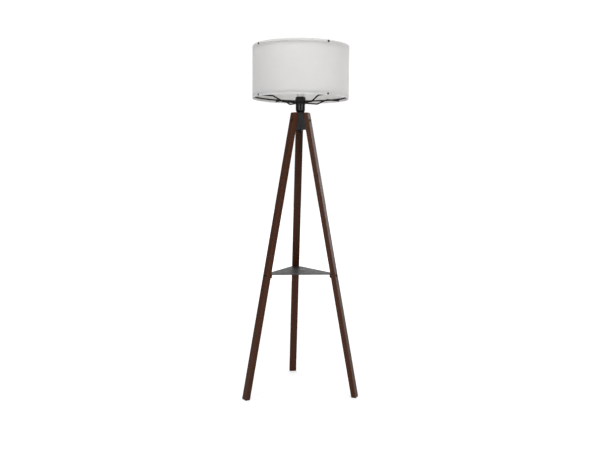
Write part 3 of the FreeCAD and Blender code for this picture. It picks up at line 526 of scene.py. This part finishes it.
def moulding(name, colour, fleck, gloss, size, depth, coat=0.0, cloudy=0.0, fleck_share=0.3, specular=0.5):
    """A moulded or glazed part: fine grain, flecks, uneven gloss and scuffed edges."""
    finish, tree, sockets, point = new_finish(
        name, Coat_Weight=coat, Coat_Roughness=0.08, Subsurface_Weight=cloudy, Subsurface_Scale=0.003,
        Subsurface_Radius=(1.0, 0.95, 0.88), Specular_IOR_Level=specular)
    grain = use(tree, grain_group, Vector=point, Size=size, Patch=0.012)
    marks = use(tree, turned_group, Vector=point, Spacing=0.0008)
    scuffed = use(tree, edge_group, Vector=point, Width=0.0006, Patch=0.006)
    dust = use(tree, dust_group, Vector=point)
    scuff_colour = tuple(min(0.95, channel * 1.2 + 0.025) for channel in colour)
    shown = layer(tree, grain["Specks"], fleck_share, colour, fleck)
    shown = layer(tree, scuffed["Mask"], 0.5, shown, scuff_colour)
    shown = layer(tree, dust["Mask"], 0.06, shown, WHITE_DUST)
    tree.links.new(shown, sockets["Base Color"])
    uneven = varied(tree, gloss, grain["Patches"], -0.03, 0.06)
    tree.links.new(varied(tree, uneven, marks["Streaks"], -0.01, 0.03), sockets["Roughness"])
    raise_surface(tree, sockets, grain["Height"], depth)
    return finish


finishes["holder_plastic"] = moulding(
    "bakelite", (0.006, 0.0055, 0.0055), (0.035, 0.022, 0.014), 0.24, 0.0012, 0.000012,
    coat=0.1, specular=0.3)
finishes["black_nylon"] = moulding(
    "black_nylon", (0.006, 0.006, 0.0065), (0.03, 0.03, 0.03), 0.48, 0.0004, 0.00003, specular=0.12)
finishes["white_nylon"] = moulding(
    "natural_nylon", (0.80, 0.79, 0.76), (0.70, 0.68, 0.64), 0.45, 0.0004, 0.00003, cloudy=0.3)
finishes["glide_plastic"] = moulding(
    "nylon_glide", (0.018, 0.017, 0.016), (0.05, 0.045, 0.04), 0.55, 0.0005, 0.00004)
finishes["porcelain"] = moulding(
    "glazed_porcelain", (0.80, 0.78, 0.73), (0.45, 0.40, 0.33), 0.14, 0.001, 0.00002, coat=0.8)
finishes["bulb_plastic"] = moulding(
    "bulb_housing_plastic", (0.82, 0.82, 0.80), (0.70, 0.69, 0.66), 0.38, 0.0005, 0.00002)
finishes["opal"] = moulding(
    "opal_diffuser", (0.90, 0.89, 0.86), (0.84, 0.83, 0.80), 0.26, 0.0025, 0.00002,
    cloudy=0.5, fleck_share=0.5)
print("mouldings: holder, nylon, clips, glides, porcelain, bulb")

# %% [markdown]
# ### Shade cloth
# The drum is off-white cotton bonded to a thin white film. It is the one finish that light goes into:
# subsurface scattering carries some of it through the sheet, so the cloth glows softly and is never
# grey in its shadow. The weave gives the relief, the gaps between threads are darkened as painted
# shade, slubs are a little lighter, and soft random blotches are a little darker in tone.

# %% The shade's cloth
CLOTH = (0.812, 0.798, 0.772)
CLOTH_GAP_SHADE_AND_MOTTLE = (0.70, 0.69, 0.66)
CLOTH_SLUB = (0.84, 0.835, 0.81)


def shade_cloth():
    """Bonded cotton on the drum of the shade."""
    finish, tree, sockets, point = new_finish(
        "shade_cotton", Subsurface_Weight=0.8, Subsurface_Scale=0.008, Subsurface_Radius=(1.0, 0.97, 0.92),
        Specular_IOR_Level=0.25, Sheen_Weight=0.12, Sheen_Roughness=0.5)
    weave = use(tree, weave_group, Vector=point, Drum_radius=reach_of("shade_panel"))
    patches = threshold(tree, cloudiness(tree, point, 0.05, detail=4.0), 0.35, 0.7)
    # Painted shade: the gaps between the threads are darkened as if shaded. The same darker colour also
    # lays random blotches of tone two lines below.
    shown = layer(tree, weave["Gaps"], 0.5, CLOTH, CLOTH_GAP_SHADE_AND_MOTTLE)
    shown = layer(tree, weave["Slubs"], 0.6, shown, CLOTH_SLUB)
    tree.links.new(layer(tree, patches, 0.12, shown, CLOTH_GAP_SHADE_AND_MOTTLE), sockets["Base Color"])
    tree.links.new(blend_number(tree, weave["Slubs"], 0.86, 0.78), sockets["Roughness"])
    relief = maths(tree, "ADD", weave["Height"], maths(tree, "MULTIPLY", weave["Slubs"], 0.8))
    raise_surface(tree, sockets, relief, 0.00008)
    return finish


finishes["shade_fabric"] = shade_cloth()
print("finishes:", len(finishes))

# %% [markdown]
# ## Dressing the frame
# The legs, bolts, washers, arms and many small parts already have their true shape. They stay, and
# take on their finish. Each slot of the parts list names one finish, except walnut, which is one
# material for each leg.

# %% Give every piece its finish
def finish_of(node):
    """The finish of one piece of the frame, from the slot that its own material names."""
    return finishes.get(node) or finishes[slot_of_node[node]]


slot_of_node = {}
for name, piece in frame["nodes"].items():
    slot_of_node[name] = piece.data.materials[0].name.split(".")[0]
    coat = finish_of(name)
    piece.data.materials.clear()
    piece.data.materials.append(coat)
used = {finish_of(name).name for name in slot_of_node}
print("dressed", len(frame["nodes"]), "pieces in", len(used), "finishes")

# %% [markdown]
# ## Building pieces in mesh code
# Pieces that get a shape of their own go through one door: `make_piece` turns points and faces into an
# object, gives it its finish, lets it ride on its body and hides the plain piece that it stands
# for.

# %% A helper that makes a piece
SMOOTH_BELOW = math.radians(35.0)


def band(first, second, size):
    """The faces between two closed rows of points, from the number of each row's first point."""
    faces = []
    for place in range(size):
        beside = (place + 1) % size
        faces.append((first + place, second + place, second + beside, first + beside))
    return faces


def open_shell(mesh):
    """A mesh opened for editing, with its doubled points merged."""
    shell = bmesh.new()
    shell.from_mesh(mesh)
    bmesh.ops.remove_doubles(shell, verts=shell.verts, dist=0.01 * MM)
    return shell


def close_shell(shell, mesh):
    """Writes an edited shell to a mesh."""
    shell.to_mesh(mesh)
    shell.free()
    return mesh


def make_piece(name, points, faces, node):
    """A new piece from points and faces, dressed, riding on its body and standing for its node."""
    mesh = bpy.data.meshes.new(name)
    mesh.from_pydata([tuple(point) for point in points], [], faces)
    mesh.validate()
    return dress_piece(name, mesh, node=node)


def dress_piece(name, mesh, node=None, body=None, slot=None):
    """Puts a finished mesh in the scene with its finish, its body and the node it stands for."""
    shell = open_shell(mesh)
    bmesh.ops.recalc_face_normals(shell, faces=shell.faces)
    close_shell(shell, mesh)
    slot = slot or slot_of_node[node]
    mesh.materials.clear()
    mesh.materials.append(finishes[slot])
    mesh.shade_smooth()
    mesh.set_sharp_from_angle(angle=SMOOTH_BELOW)
    piece = bpy.data.objects.new(name, mesh)
    bpy.context.scene.collection.objects.link(piece)
    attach(piece, body or body_of_node[node])
    if node:
        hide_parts(node)
    print(f"{name}: {len(mesh.polygons)} faces")
    return piece


# %% [markdown]
# ### The drum
# A shade maker cuts one long strip, rolls it round the wire rings and glues the ends over each other.
# So the drum is not a cylinder: it is a strip that laps over its own start, and a real one shows that
# seam as a fine vertical step. The strip's edges are turned over in a narrow hem, and each rivet pulls
# the cloth in a little. All of it is one grid of points: along the strip, and round the strip's
# thin section.

# %% The strip's section
SHEET = 1.0 * MM
HEM_HEIGHT = 6.0 * MM
HEM_RAISE = 0.22 * MM
LAP = 12.0 * MM
LAP_RISE = 16.0 * MM
SEAM_ANGLE = math.radians(84.5)
DRUM_COLUMNS = 400
WAVINESS = 0.35 * MM
DIMPLE_DEPTH = 0.45 * MM
DIMPLE_WIDTH = 9.0 * MM
drum_bottom, drum_top = bottom_of("shade_panel"), top_of("shade_panel")
drum_radius = reach_of("shade_panel")
drum_inner = drum_radius - SHEET
drum_around = 2.0 * math.pi * drum_radius


def smooth_step(value, low, high):
    """0 below low, 1 above high, smooth between."""
    share = min(1.0, max(0.0, (value - low) / (high - low)))
    return share * share * (3.0 - 2.0 * share)


def strip_heights():
    """Heights of the strip's rows, closer together at the hems and rivets."""
    edge = [0.0, 0.15, 0.5, 1.0, 2.0, 3.2, 4.4, 5.4, 6.0, 6.4, 7.2, 8.6, 10.5, 13.0, 17.0, 23.0]
    height = (drum_top - drum_bottom) / MM
    middle = [edge[-1] + (height - 2.0 * edge[-1]) * step / 14.0 for step in range(1, 14)]
    upper = [height - value for value in reversed(edge)]
    return [drum_bottom + value * MM for value in edge + middle + upper]


def hem(height):
    """How far the turned-over hem stands out at a height, and the rounding of the edge."""
    from_edge = min(height - drum_bottom, drum_top - height)
    raised = HEM_RAISE * (1.0 - smooth_step(from_edge, HEM_HEIGHT - 0.5 * MM, HEM_HEIGHT + 0.5 * MM))
    beyond = 1.0 - min(1.0, from_edge / (0.5 * MM))
    rounding = 0.45 * SHEET * (1.0 - math.sqrt(max(0.0, 1.0 - beyond ** 2)))
    return raised - rounding, rounding


def arm_turn(index):
    """The side of the lamp, as an angle, that a carrier arm and its rivets are on."""
    corners = [vertex.co for vertex in frame["nodes"][f"carrier_arm_{index}"].data.vertices]
    middle = sum(corners, Vector()) / len(corners)
    return math.atan2(middle.y, middle.x)


rivet_turns = [arm_turn(index) for index in (1, 2, 3, 4)]
rivet_heights = [(bottom_of(name) + top_of(name)) / 2.0 for name in ("bottom_rivets", "top_rivets")]
print("rivets at", [round(math.degrees(turn)) for turn in rivet_turns], "degrees")
print("rivet heights:", [round(height, 4) for height in rivet_heights])

# %% [markdown]
# The strip starts at the seam, goes once round, and runs on for the lap. Over the last stretch it
# climbs by its own thickness, so that it lies on its start and does not cut into it. Slow noise of a
# few tenths of a millimetre keeps the drum from looking machined.

# %% Roll the strip into the drum
def rivet_pull(turn, height):
    """How deep the rivets pull the cloth in at a place of the drum."""
    pull = 0.0
    for rivet_turn in rivet_turns:
        beside = math.remainder(turn - rivet_turn, 2.0 * math.pi) * drum_radius
        for rivet_height in rivet_heights:
            distance = math.hypot(beside, height - rivet_height)
            pull += DIMPLE_DEPTH * math.exp(-(distance / DIMPLE_WIDTH * 1.6) ** 2)
    return pull


def drum():
    """The shade's drum as one closed strip that laps over its own start."""
    heights = strip_heights()
    points, faces = [], []
    for column in range(DRUM_COLUMNS + 1):
        along = (drum_around + LAP) * column / DRUM_COLUMNS
        turn = SEAM_ANGLE + along / drum_radius
        climb = 1.06 * SHEET * smooth_step(along, drum_around - LAP_RISE, drum_around - 1.0 * MM)
        outer, inner = [], []
        for height in heights:
            wave_place = Vector((math.cos(turn) * 2.2, math.sin(turn) * 2.2, height * 9.0))
            wave = WAVINESS * noise.noise(wave_place)
            pull = rivet_pull(turn, height)
            raised, rounding = hem(height)
            middle = drum_inner + climb + wave * smooth_step(abs(pull), 0.1 * MM, 0.0) - 0.25 * pull
            outer.append(around_axis(middle + SHEET + raised, height, turn))
            inner.append(around_axis(middle + rounding, height, turn))
        points += outer + inner[::-1]
    size = 2 * len(heights)
    for column in range(DRUM_COLUMNS):
        faces += band(column * size, (column + 1) * size, size)
    faces.append(tuple(range(size)))
    faces.append(tuple(DRUM_COLUMNS * size + row for row in reversed(range(size))))
    return make_piece("shade_drum", points, faces, "shade_panel")


shade_drum = drum()

# %% [markdown]
# ### Turned pieces
# The lampholder's parts are bodies of revolution. A lathe or a mould never leaves a sharp corner, so
# `rounded_outline` replaces each corner of the half section by a small arc, and `turn_piece` spins
# the outline about the axis. The small arcs catch the light, and that is what makes a black part
# readable.

# %% Helpers for turned pieces
ARC_STEPS = 5
TURN_STEPS = 96


def rounded_outline(corners, radius):
    """A closed outline whose corners are replaced by arcs."""
    outline = []
    count = len(corners)
    for place, corner in enumerate(corners):
        here = Vector(corner)
        before, after = Vector(corners[place - 1]), Vector(corners[(place + 1) % count])
        back, ahead = (before - here), (after - here)
        reach = min(radius, 0.45 * back.length, 0.45 * ahead.length)
        start, end = here + back.normalized() * reach, here + ahead.normalized() * reach
        for step in range(ARC_STEPS + 1):
            share = step / ARC_STEPS
            outline.append(start.lerp(here, share).lerp(here.lerp(end, share), share))
    return outline


def turn_piece(name, outline, node, radius_change=None, steps=TURN_STEPS):
    """Spins a closed outline of (radius, height) about the lamp's axis."""
    points, faces = [], []
    size = len(outline)
    for step in range(steps):
        angle = 2.0 * math.pi * step / steps
        for radius, height in outline:
            if radius_change:
                radius = radius_change(radius, height, angle)
            points.append(around_axis(radius, height, angle))
        faces += band(step * size, (step + 1) % steps * size, size)
    return make_piece(name, points, faces, node)


print("lathe ready, arcs of", ARC_STEPS, "steps")

# %% [markdown]
# ### Lampholder
# The holder is a cap, a barrel with a shoulder, and a ribbed ring that screws down on the sleeve and
# clamps the shade. The barrel is turned from its half section. The ring's ribs are real relief:
# its radius dips in twenty-four rounded grooves, as the fingers feel them.

# %% Turn the barrel
CORNER = 0.6 * MM
CLAMP_GAP = 0.25 * MM
FLANGE_THICK = 2.4 * MM
SLEEVE_STEP = 2.85 * MM
BARREL_WALL = 2.3 * MM
barrel_low, barrel_high = bottom_of("lampholder_barrel"), top_of("lampholder_barrel")
flange_radius = reach_of("lampholder_barrel")
barrel_radius = reach_of("lampholder_cap")
flange_top = bottom_of("centre_ring") - CLAMP_GAP
flange_low = flange_top - FLANGE_THICK
sleeve_radius = barrel_radius - SLEEVE_STEP
sleeve_bore = hole_of("lampholder_barrel")
barrel_bore = barrel_radius - BARREL_WALL
shoulder = flange_low - 0.2 * MM
barrel_outline = rounded_outline([
    (barrel_bore, barrel_low), (barrel_radius, barrel_low), (barrel_radius, flange_low),
    (flange_radius, flange_low), (flange_radius, flange_top), (sleeve_radius, flange_top),
    (sleeve_radius, barrel_high), (sleeve_bore, barrel_high), (sleeve_bore, shoulder),
    (barrel_bore, shoulder)], CORNER)
turn_piece("holder_barrel", barrel_outline, "lampholder_barrel")

# %% Turn the ribbed ring
RIBS = 24
RIB_DEPTH = 0.9 * MM
SKIRT_HEIGHT = 5.5 * MM
RING_PLAY = 0.3 * MM
RING_WALL = 2.2 * MM
LIP_THICK = 1.4 * MM
ring_low, ring_high = bottom_of("retaining_ring"), top_of("retaining_ring")
ring_skirt = reach_of("retaining_ring")
ring_bore = sleeve_radius + RING_PLAY
ring_lip = hole_of("retaining_ring")
lip_low = ring_high - LIP_THICK


def ribbed(radius, height, angle):
    """The ring's outer surface, dipping in rounded grooves below its smooth upper edge."""
    if radius < ring_bore + 1.4 * MM:
        return radius
    wave = abs(math.cos(angle * RIBS / 2.0))
    groove = math.exp(-(wave / 0.35) ** 2)
    fade = smooth_step(height, ring_low, ring_low + 0.8 * MM)
    fade *= 1.0 - smooth_step(height, ring_high - 1.2 * MM, ring_high)
    return radius - RIB_DEPTH * groove * fade


def finer(outline, step):
    """The same outline with long runs divided, so that relief has points to bend."""
    result = []
    for place, point in enumerate(outline):
        following = outline[(place + 1) % len(outline)]
        pieces = max(1, int((following - point).length / step))
        result += [point.lerp(following, share / pieces) for share in range(pieces)]
    return result


ring_outline = rounded_outline([
    (ring_bore, ring_low), (ring_skirt, ring_low), (ring_skirt, ring_low + SKIRT_HEIGHT),
    (ring_bore + RING_WALL, ring_high), (ring_lip, ring_high), (ring_lip, lip_low), (ring_bore, lip_low)],
    0.8 * MM)
turn_piece("clamp_ring_ribbed", finer(ring_outline, 1.2 * MM), "retaining_ring", ribbed, RIBS * 12)

# %% [markdown]
# ### Softened castings and sheet parts
# The hub, its cover, the tray, the holder's cap and the foot glides come from the frame with
# knife-sharp edges. No casting, no moulding and no bent sheet has those. `soften` takes a copy of the
# piece, melts the flat triangles back into whole faces and rolls a small bevel along every sharp edge.

# %% A helper that softens a copy of a piece
SHARPER_THAN = math.radians(28.0)


def soften(node, width, name):
    """A copy of a piece with its sharp edges rolled over, standing for the piece."""
    shell = open_shell(frame["nodes"][node].data)
    bmesh.ops.dissolve_limit(shell, angle_limit=math.radians(0.6), verts=shell.verts, edges=shell.edges)
    inner = [edge for edge in shell.edges if len(edge.link_faces) == 2]
    sharp = [edge for edge in inner if edge.calc_face_angle() > SHARPER_THAN]
    bmesh.ops.bevel(shell, geom=sharp, offset=width, segments=3, profile=0.6, affect="EDGES",
                    clamp_overlap=True)
    bmesh.ops.triangulate(shell, faces=[face for face in shell.faces if len(face.verts) > 4])
    return dress_piece(name, close_shell(shell, bpy.data.meshes.new(node)), node=node)


soften("hub_shell", 0.5 * MM, "hub_casting")
soften("hub_cover", 0.35 * MM, "hub_cover_plate")
soften("tray", 0.35 * MM, "tray_sheet")
soften("lampholder_cap", 0.35 * MM, "holder_cap")
for side in LEG_SIDES:
    soften(f"glide_{side}", 0.5 * MM, f"foot_glide_{side}")

# %% [markdown]
# ### Clips
# A clip sits between the cloth and the ring wire and grips the wire's outer half, so the wire runs on
# unbroken in front of it. Each clip of the frame is cut at the wire's middle, the inner part is
# dropped and the cut is closed.

# %% Cut the clips back to the wire's middle
def open_clips(node, ring_node):
    """The clips of one ring, cut so that the wire stays in view, standing for their node."""
    wire_middle = reach_of(ring_node) - (top_of(ring_node) - bottom_of(ring_node)) / 2.0
    shell = open_shell(frame["nodes"][node].data)
    for turn in rivet_turns:
        outwards = around_axis(1.0, 0.0, turn)
        near = [vertex for vertex in shell.verts if vertex.co.dot(outwards) > 0.9 * wire_middle]
        edges = {edge for vertex in near for edge in vertex.link_edges}
        sides = {face for vertex in near for face in vertex.link_faces}
        cut = bmesh.ops.bisect_plane(shell, geom=near + list(edges) + list(sides), dist=0.001 * MM,
                                     plane_co=outwards * wire_middle, plane_no=outwards, clear_inner=True)
        rim = [item for item in cut["geom_cut"] if isinstance(item, bmesh.types.BMEdge)]
        bmesh.ops.holes_fill(shell, edges=rim, sides=0)
    return dress_piece(f"{node}_open", close_shell(shell, bpy.data.meshes.new(node)), node=node)


open_clips("top_clips", "top_ring")
open_clips("bottom_clips", "bottom_ring")

# %% [markdown]
# ### Threads
# A thread is one ridge wound round and round. On a surface that is counted by angle and height, the
# ridge is where the height, less one pitch for each turn, comes back to a whole number. So the
# radius is simply a wave of that phase, and the mesh stays one clean tube.

# %% A helper that winds a thread
ROWS_A_TURN = 10


def threaded(name, node, crest, root, bore, pitch, steps=48, thread_height=None):
    """A tube about the axis with a wound thread on its outside, plain above the thread's height."""
    low, high = bottom_of(node), top_of(node)
    run = thread_height or high - low
    rows = int(run / pitch * ROWS_A_TURN)
    heights = [low + run * row / rows for row in range(rows + 1)] + ([high] if thread_height else [])

    def wound(radius, height, angle):
        """The radius of the thread at a place of its outside."""
        if radius == bore:
            return radius
        phase = (height / pitch - angle / (2.0 * math.pi)) % 1.0
        ridge = 0.5 - 0.5 * math.cos(2.0 * math.pi * phase)
        run_out = smooth_step(height, low, low + 0.6 * pitch)
        run_out *= 1.0 - smooth_step(height, high - 0.6 * pitch, high)
        return root + (crest - root) * ridge * run_out

    outline = [(root, height) for height in heights] + [(bore, height) for height in reversed(heights)]
    return turn_piece(name, outline, node, wound, steps)


threaded("tube_thread", "threaded_tube", 5.0 * MM, 4.45 * MM, hole_of("threaded_tube"), 1.0 * MM,
         thread_height=14.0 * MM)
cap_radius = reach_of("bulb_cap")
threaded("bulb_screw_cap", "bulb_cap", cap_radius, cap_radius - 0.8 * MM, 2.0 * MM, 3.6 * MM, steps=72)

# %% [markdown]
# ### Bulb
# The bulb is white plastic below and an opal diffuser above, meeting in a fine seam. Its housing
# swells from the cap in one easy curve, so its outline is a smooth path of points and not the cone
# of the engineering model.

# %% Turn the bulb
CURVE_STEPS = 24
BULB_CORE = 3.0 * MM
housing_low, housing_high = bottom_of("bulb_housing"), top_of("bulb_housing")
housing_rim = reach_of("bulb_housing")
neck_radius = cap_radius + 0.5 * MM
housing_outline = []
for step in range(CURVE_STEPS):
    share = step / CURVE_STEPS
    swell = smooth_step(share, 0.05, 1.15) / smooth_step(1.0, 0.05, 1.15)
    radius = neck_radius + (housing_rim - neck_radius) * swell
    housing_outline.append((radius, housing_low + (housing_high - housing_low) * share))
seam_height = housing_high - 0.05 * MM
housing_outline += [
    (housing_rim, housing_high - 0.4 * MM), (housing_rim - 0.5 * MM, seam_height), (BULB_CORE, seam_height),
    (BULB_CORE, housing_low + 0.3 * MM), (neck_radius - 0.8 * MM, housing_low)]
turn_piece("bulb_body", housing_outline, "bulb_housing")

GLOBE_STEPS = 40
GLOBE_WALL = 1.2 * MM
globe_low, globe_radius = bottom_of("bulb_globe"), reach_of("bulb_globe")
globe_centre = top_of("bulb_globe") - globe_radius
lowest = math.asin((globe_low - globe_centre) / globe_radius)
rises = [lowest + (math.pi / 2.0 - lowest) * step / GLOBE_STEPS for step in range(GLOBE_STEPS + 1)]


def globe_point(radius, rise):
    """A point of the globe's section, never lower than the globe's open edge."""
    return radius * math.cos(rise), max(globe_low, globe_centre + radius * math.sin(rise))


globe_outline = [globe_point(globe_radius, rise) for rise in rises]
globe_outline += [globe_point(globe_radius - GLOBE_WALL, rise) for rise in reversed(rises)]
turn_piece("bulb_diffuser", globe_outline, "bulb_globe")

# %% [markdown]
# ### Weld beads
# The carrier arms are welded to the centre ring, and a weld is a small lump that wraps both
# wires. Each bead starts as a ball, is flattened along the arm and is pushed about by a little noise.
# The beads sit just outside the centre ring, on the side of each arm, which the frame gives.

# %% Weld the arms to the ring
def weld_bead(shell, place, outwards, size, seed):
    """Adds one lumpy bead to a mesh that is being built."""
    made = bmesh.ops.create_icosphere(shell, subdivisions=4, radius=1.0)["verts"]
    turn = outwards.to_track_quat("X", "Z").to_matrix()
    for vertex in made:
        lump = 1.0 + 0.14 * noise.noise(vertex.co * 1.7 + Vector((seed, 0.0, 0.0)))
        vertex.co = place + turn @ Vector([part * full * lump for part, full in zip(vertex.co, size)])


BEAD_SIZE = Vector((1.9, 3.1, 2.2)) * MM
ring_middle = (top_of("centre_ring") + bottom_of("centre_ring")) / 2.0
bead_reach = reach_of("centre_ring") + 0.2 * MM
beads = bmesh.new()
for step, turn in enumerate(rivet_turns):
    place = around_axis(bead_reach, ring_middle, turn)
    weld_bead(beads, place, around_axis(1.0, 0.0, turn), BEAD_SIZE, seed=float(step))
bead_mesh = close_shell(beads, bpy.data.meshes.new("arm_welds"))
dress_piece("arm_welds", bead_mesh, body="shade", slot="black_wire")

# %% [markdown]
# ## The studio
# The lamp stands on a white sweep in soft light. The backdrop behind it is bright and the room in
# front of it is dark, with two large lamps with white cloth over them. Dark pieces then stay dark
# from the front and catch a pale sheen where the eye grazes them. A brighter panel stands behind
# the lamp on its right, and puts a sheen on the outer face of the right leg. The world does all of
# it: lit behind the lamp and dim in front, while the camera sees plain white.

# %% Paint the world
BACKDROP = 0.75
ROOM = 0.05
SIDE_PANEL = 1.7
PANEL_SIDE = (0.77, 0.64, 0.0)
SEEN_WHITE = 1.05
WHITE = (1.0, 1.0, 1.0)
world = bpy.data.worlds.new("studio")
bpy.context.scene.world = world
world.use_nodes = True
sky = world.node_tree
sky.nodes.clear()
direction = put(sky, "ShaderNodeTexCoord").outputs["Generated"]
brightness = blend_number(sky, threshold(sky, split(sky, direction)["Y"], 0.3, 0.95), ROOM, BACKDROP)
towards_panel = vector_maths(sky, "DOT_PRODUCT", direction, PANEL_SIDE, result="Value")
panel = maths(sky, "MULTIPLY", threshold(sky, towards_panel, 0.85, 0.97), SIDE_PANEL)
brightness = maths(sky, "ADD", brightness, panel)
lit, seen = [put(sky, "ShaderNodeBackground", {"Color": (*WHITE, 1.0), "Strength": strength}).outputs[0]
             for strength in (brightness, SEEN_WHITE)]
camera_ray = put(sky, "ShaderNodeLightPath").outputs["Is Camera Ray"]
mixed = put(sky, "ShaderNodeMixShader", {0: camera_ray, 1: lit, 2: seen}).outputs[0]
put(sky, "ShaderNodeOutputWorld", {"Surface": mixed})
print("backdrop", BACKDROP, "room", ROOM, "side panel", SIDE_PANEL)

# %% [markdown]
# The floor is a wide white disc. It glows faintly, and more so further out, so that it meets the white
# backdrop without a line. Close to the lamp it still takes a soft shadow. What the lamp itself
# catches of that glow is less than the eye sees, so that the dark legs stay dark.

# %% Lay the floor
FLOOR_RADIUS = 14.0
FLOOR_GLOW = 1.12
floor_shell = bmesh.new()
bmesh.ops.create_circle(floor_shell, cap_ends=True, segments=128, radius=FLOOR_RADIUS)
floor_mesh = close_shell(floor_shell, bpy.data.meshes.new("studio_floor"))
floor = bpy.data.objects.new("studio_floor", floor_mesh)
bpy.context.scene.collection.objects.link(floor)
white, tree, sockets, point = new_finish("white_sweep", Specular_IOR_Level=0.15)
paper = cloudiness(tree, point, 0.002, detail=3.0)
tree.links.new(blend_colour(tree, paper, (0.90, 0.90, 0.90), (0.94, 0.94, 0.94)), sockets["Base Color"])
tree.links.new(blend_number(tree, paper, 0.75, 0.85), sockets["Roughness"])
glow = blend_number(tree, threshold(tree, length_of(tree, point), 0.5, 4.0), 0.5, 1.0)
seen = put(tree, "ShaderNodeLightPath").outputs["Is Camera Ray"]
glow = maths(tree, "MULTIPLY", glow, blend_number(tree, seen, 0.3, 1.0))
tree.links.new(blend_colour(tree, glow, (0.0, 0.0, 0.0), WHITE), sockets["Emission Color"])
sockets["Emission Strength"].default_value = FLOOR_GLOW
floor_mesh.materials.append(white)
print("floor radius", FLOOR_RADIUS, "m")

# %% [markdown]
# Three soft lamps: one in front on the right is the key, one in front on the left fills, and one
# overhead lifts the tops. They are large, because small lamps would draw hard shadows inside the
# shade.

# %% Hang the lamps
def soft_lamp(name, place, target, size, watts):
    """A wide lamp with a white cloth, aimed at a point."""
    data = bpy.data.lights.new(name, "AREA")
    data.shape = "RECTANGLE"
    data.size, data.size_y = size
    data.energy = watts
    lamp = bpy.data.objects.new(name, data)
    bpy.context.scene.collection.objects.link(lamp)
    lamp.location = place
    lamp.rotation_euler = (Vector(target) - Vector(place)).to_track_quat("-Z", "Y").to_euler()


FOOT = (0.0, 0.0, 0.0)
UPPER_HALF = (0.0, 0.0, 1.0)
TALL = (1.2, 2.0)
SQUARE = (2.4, 2.4)
soft_lamp("key_lamp", (2.0, -3.0, 1.7), UPPER_HALF, TALL, watts=44.0)
soft_lamp("fill_lamp", (-2.1, -2.9, 1.6), UPPER_HALF, TALL, watts=42.0)
soft_lamp("top_lamp", (0.0, 0.4, 3.4), FOOT, SQUARE, watts=38.0)

# %% [markdown]
# ## The camera
# The eye stands a little left of the lamp's front, at the height of its middle, and looks slightly
# down. The lens is a short one for the distance, as in a small studio. The view transform is the
# plain one, so that white stays white.

# %% Set the camera
EYE_DISTANCE = 2.8549
EYE_HEIGHT = 0.9395
EYE_TURN = math.radians(5.52)
LOOK_ASIDE = math.radians(0.056)
LOOK_DOWN = math.radians(4.691)
LENS_ROLL = math.radians(0.529)
LENS = 40.69
SENSOR_WIDTH = 36.0
camera_data = bpy.data.cameras.new("eye")
camera_data.lens = LENS
camera_data.sensor_width = SENSOR_WIDTH
camera = bpy.data.objects.new("eye", camera_data)
bpy.context.scene.collection.objects.link(camera)
aim = Matrix.Rotation(-EYE_TURN - LOOK_ASIDE, 4, "Z")
tilt = Matrix.Rotation(math.pi / 2.0 - LOOK_DOWN, 4, "X")
roll = Matrix.Rotation(LENS_ROLL, 4, "Z")
eye = Vector((-EYE_DISTANCE * math.sin(EYE_TURN), -EYE_DISTANCE * math.cos(EYE_TURN), EYE_HEIGHT))
camera.matrix_world = Matrix.Translation(eye) @ aim @ tilt @ roll
bpy.context.scene.camera = camera
bpy.context.scene.view_settings.view_transform = "Standard"
print("camera at", [round(value, 3) for value in eye], "lens", LENS)
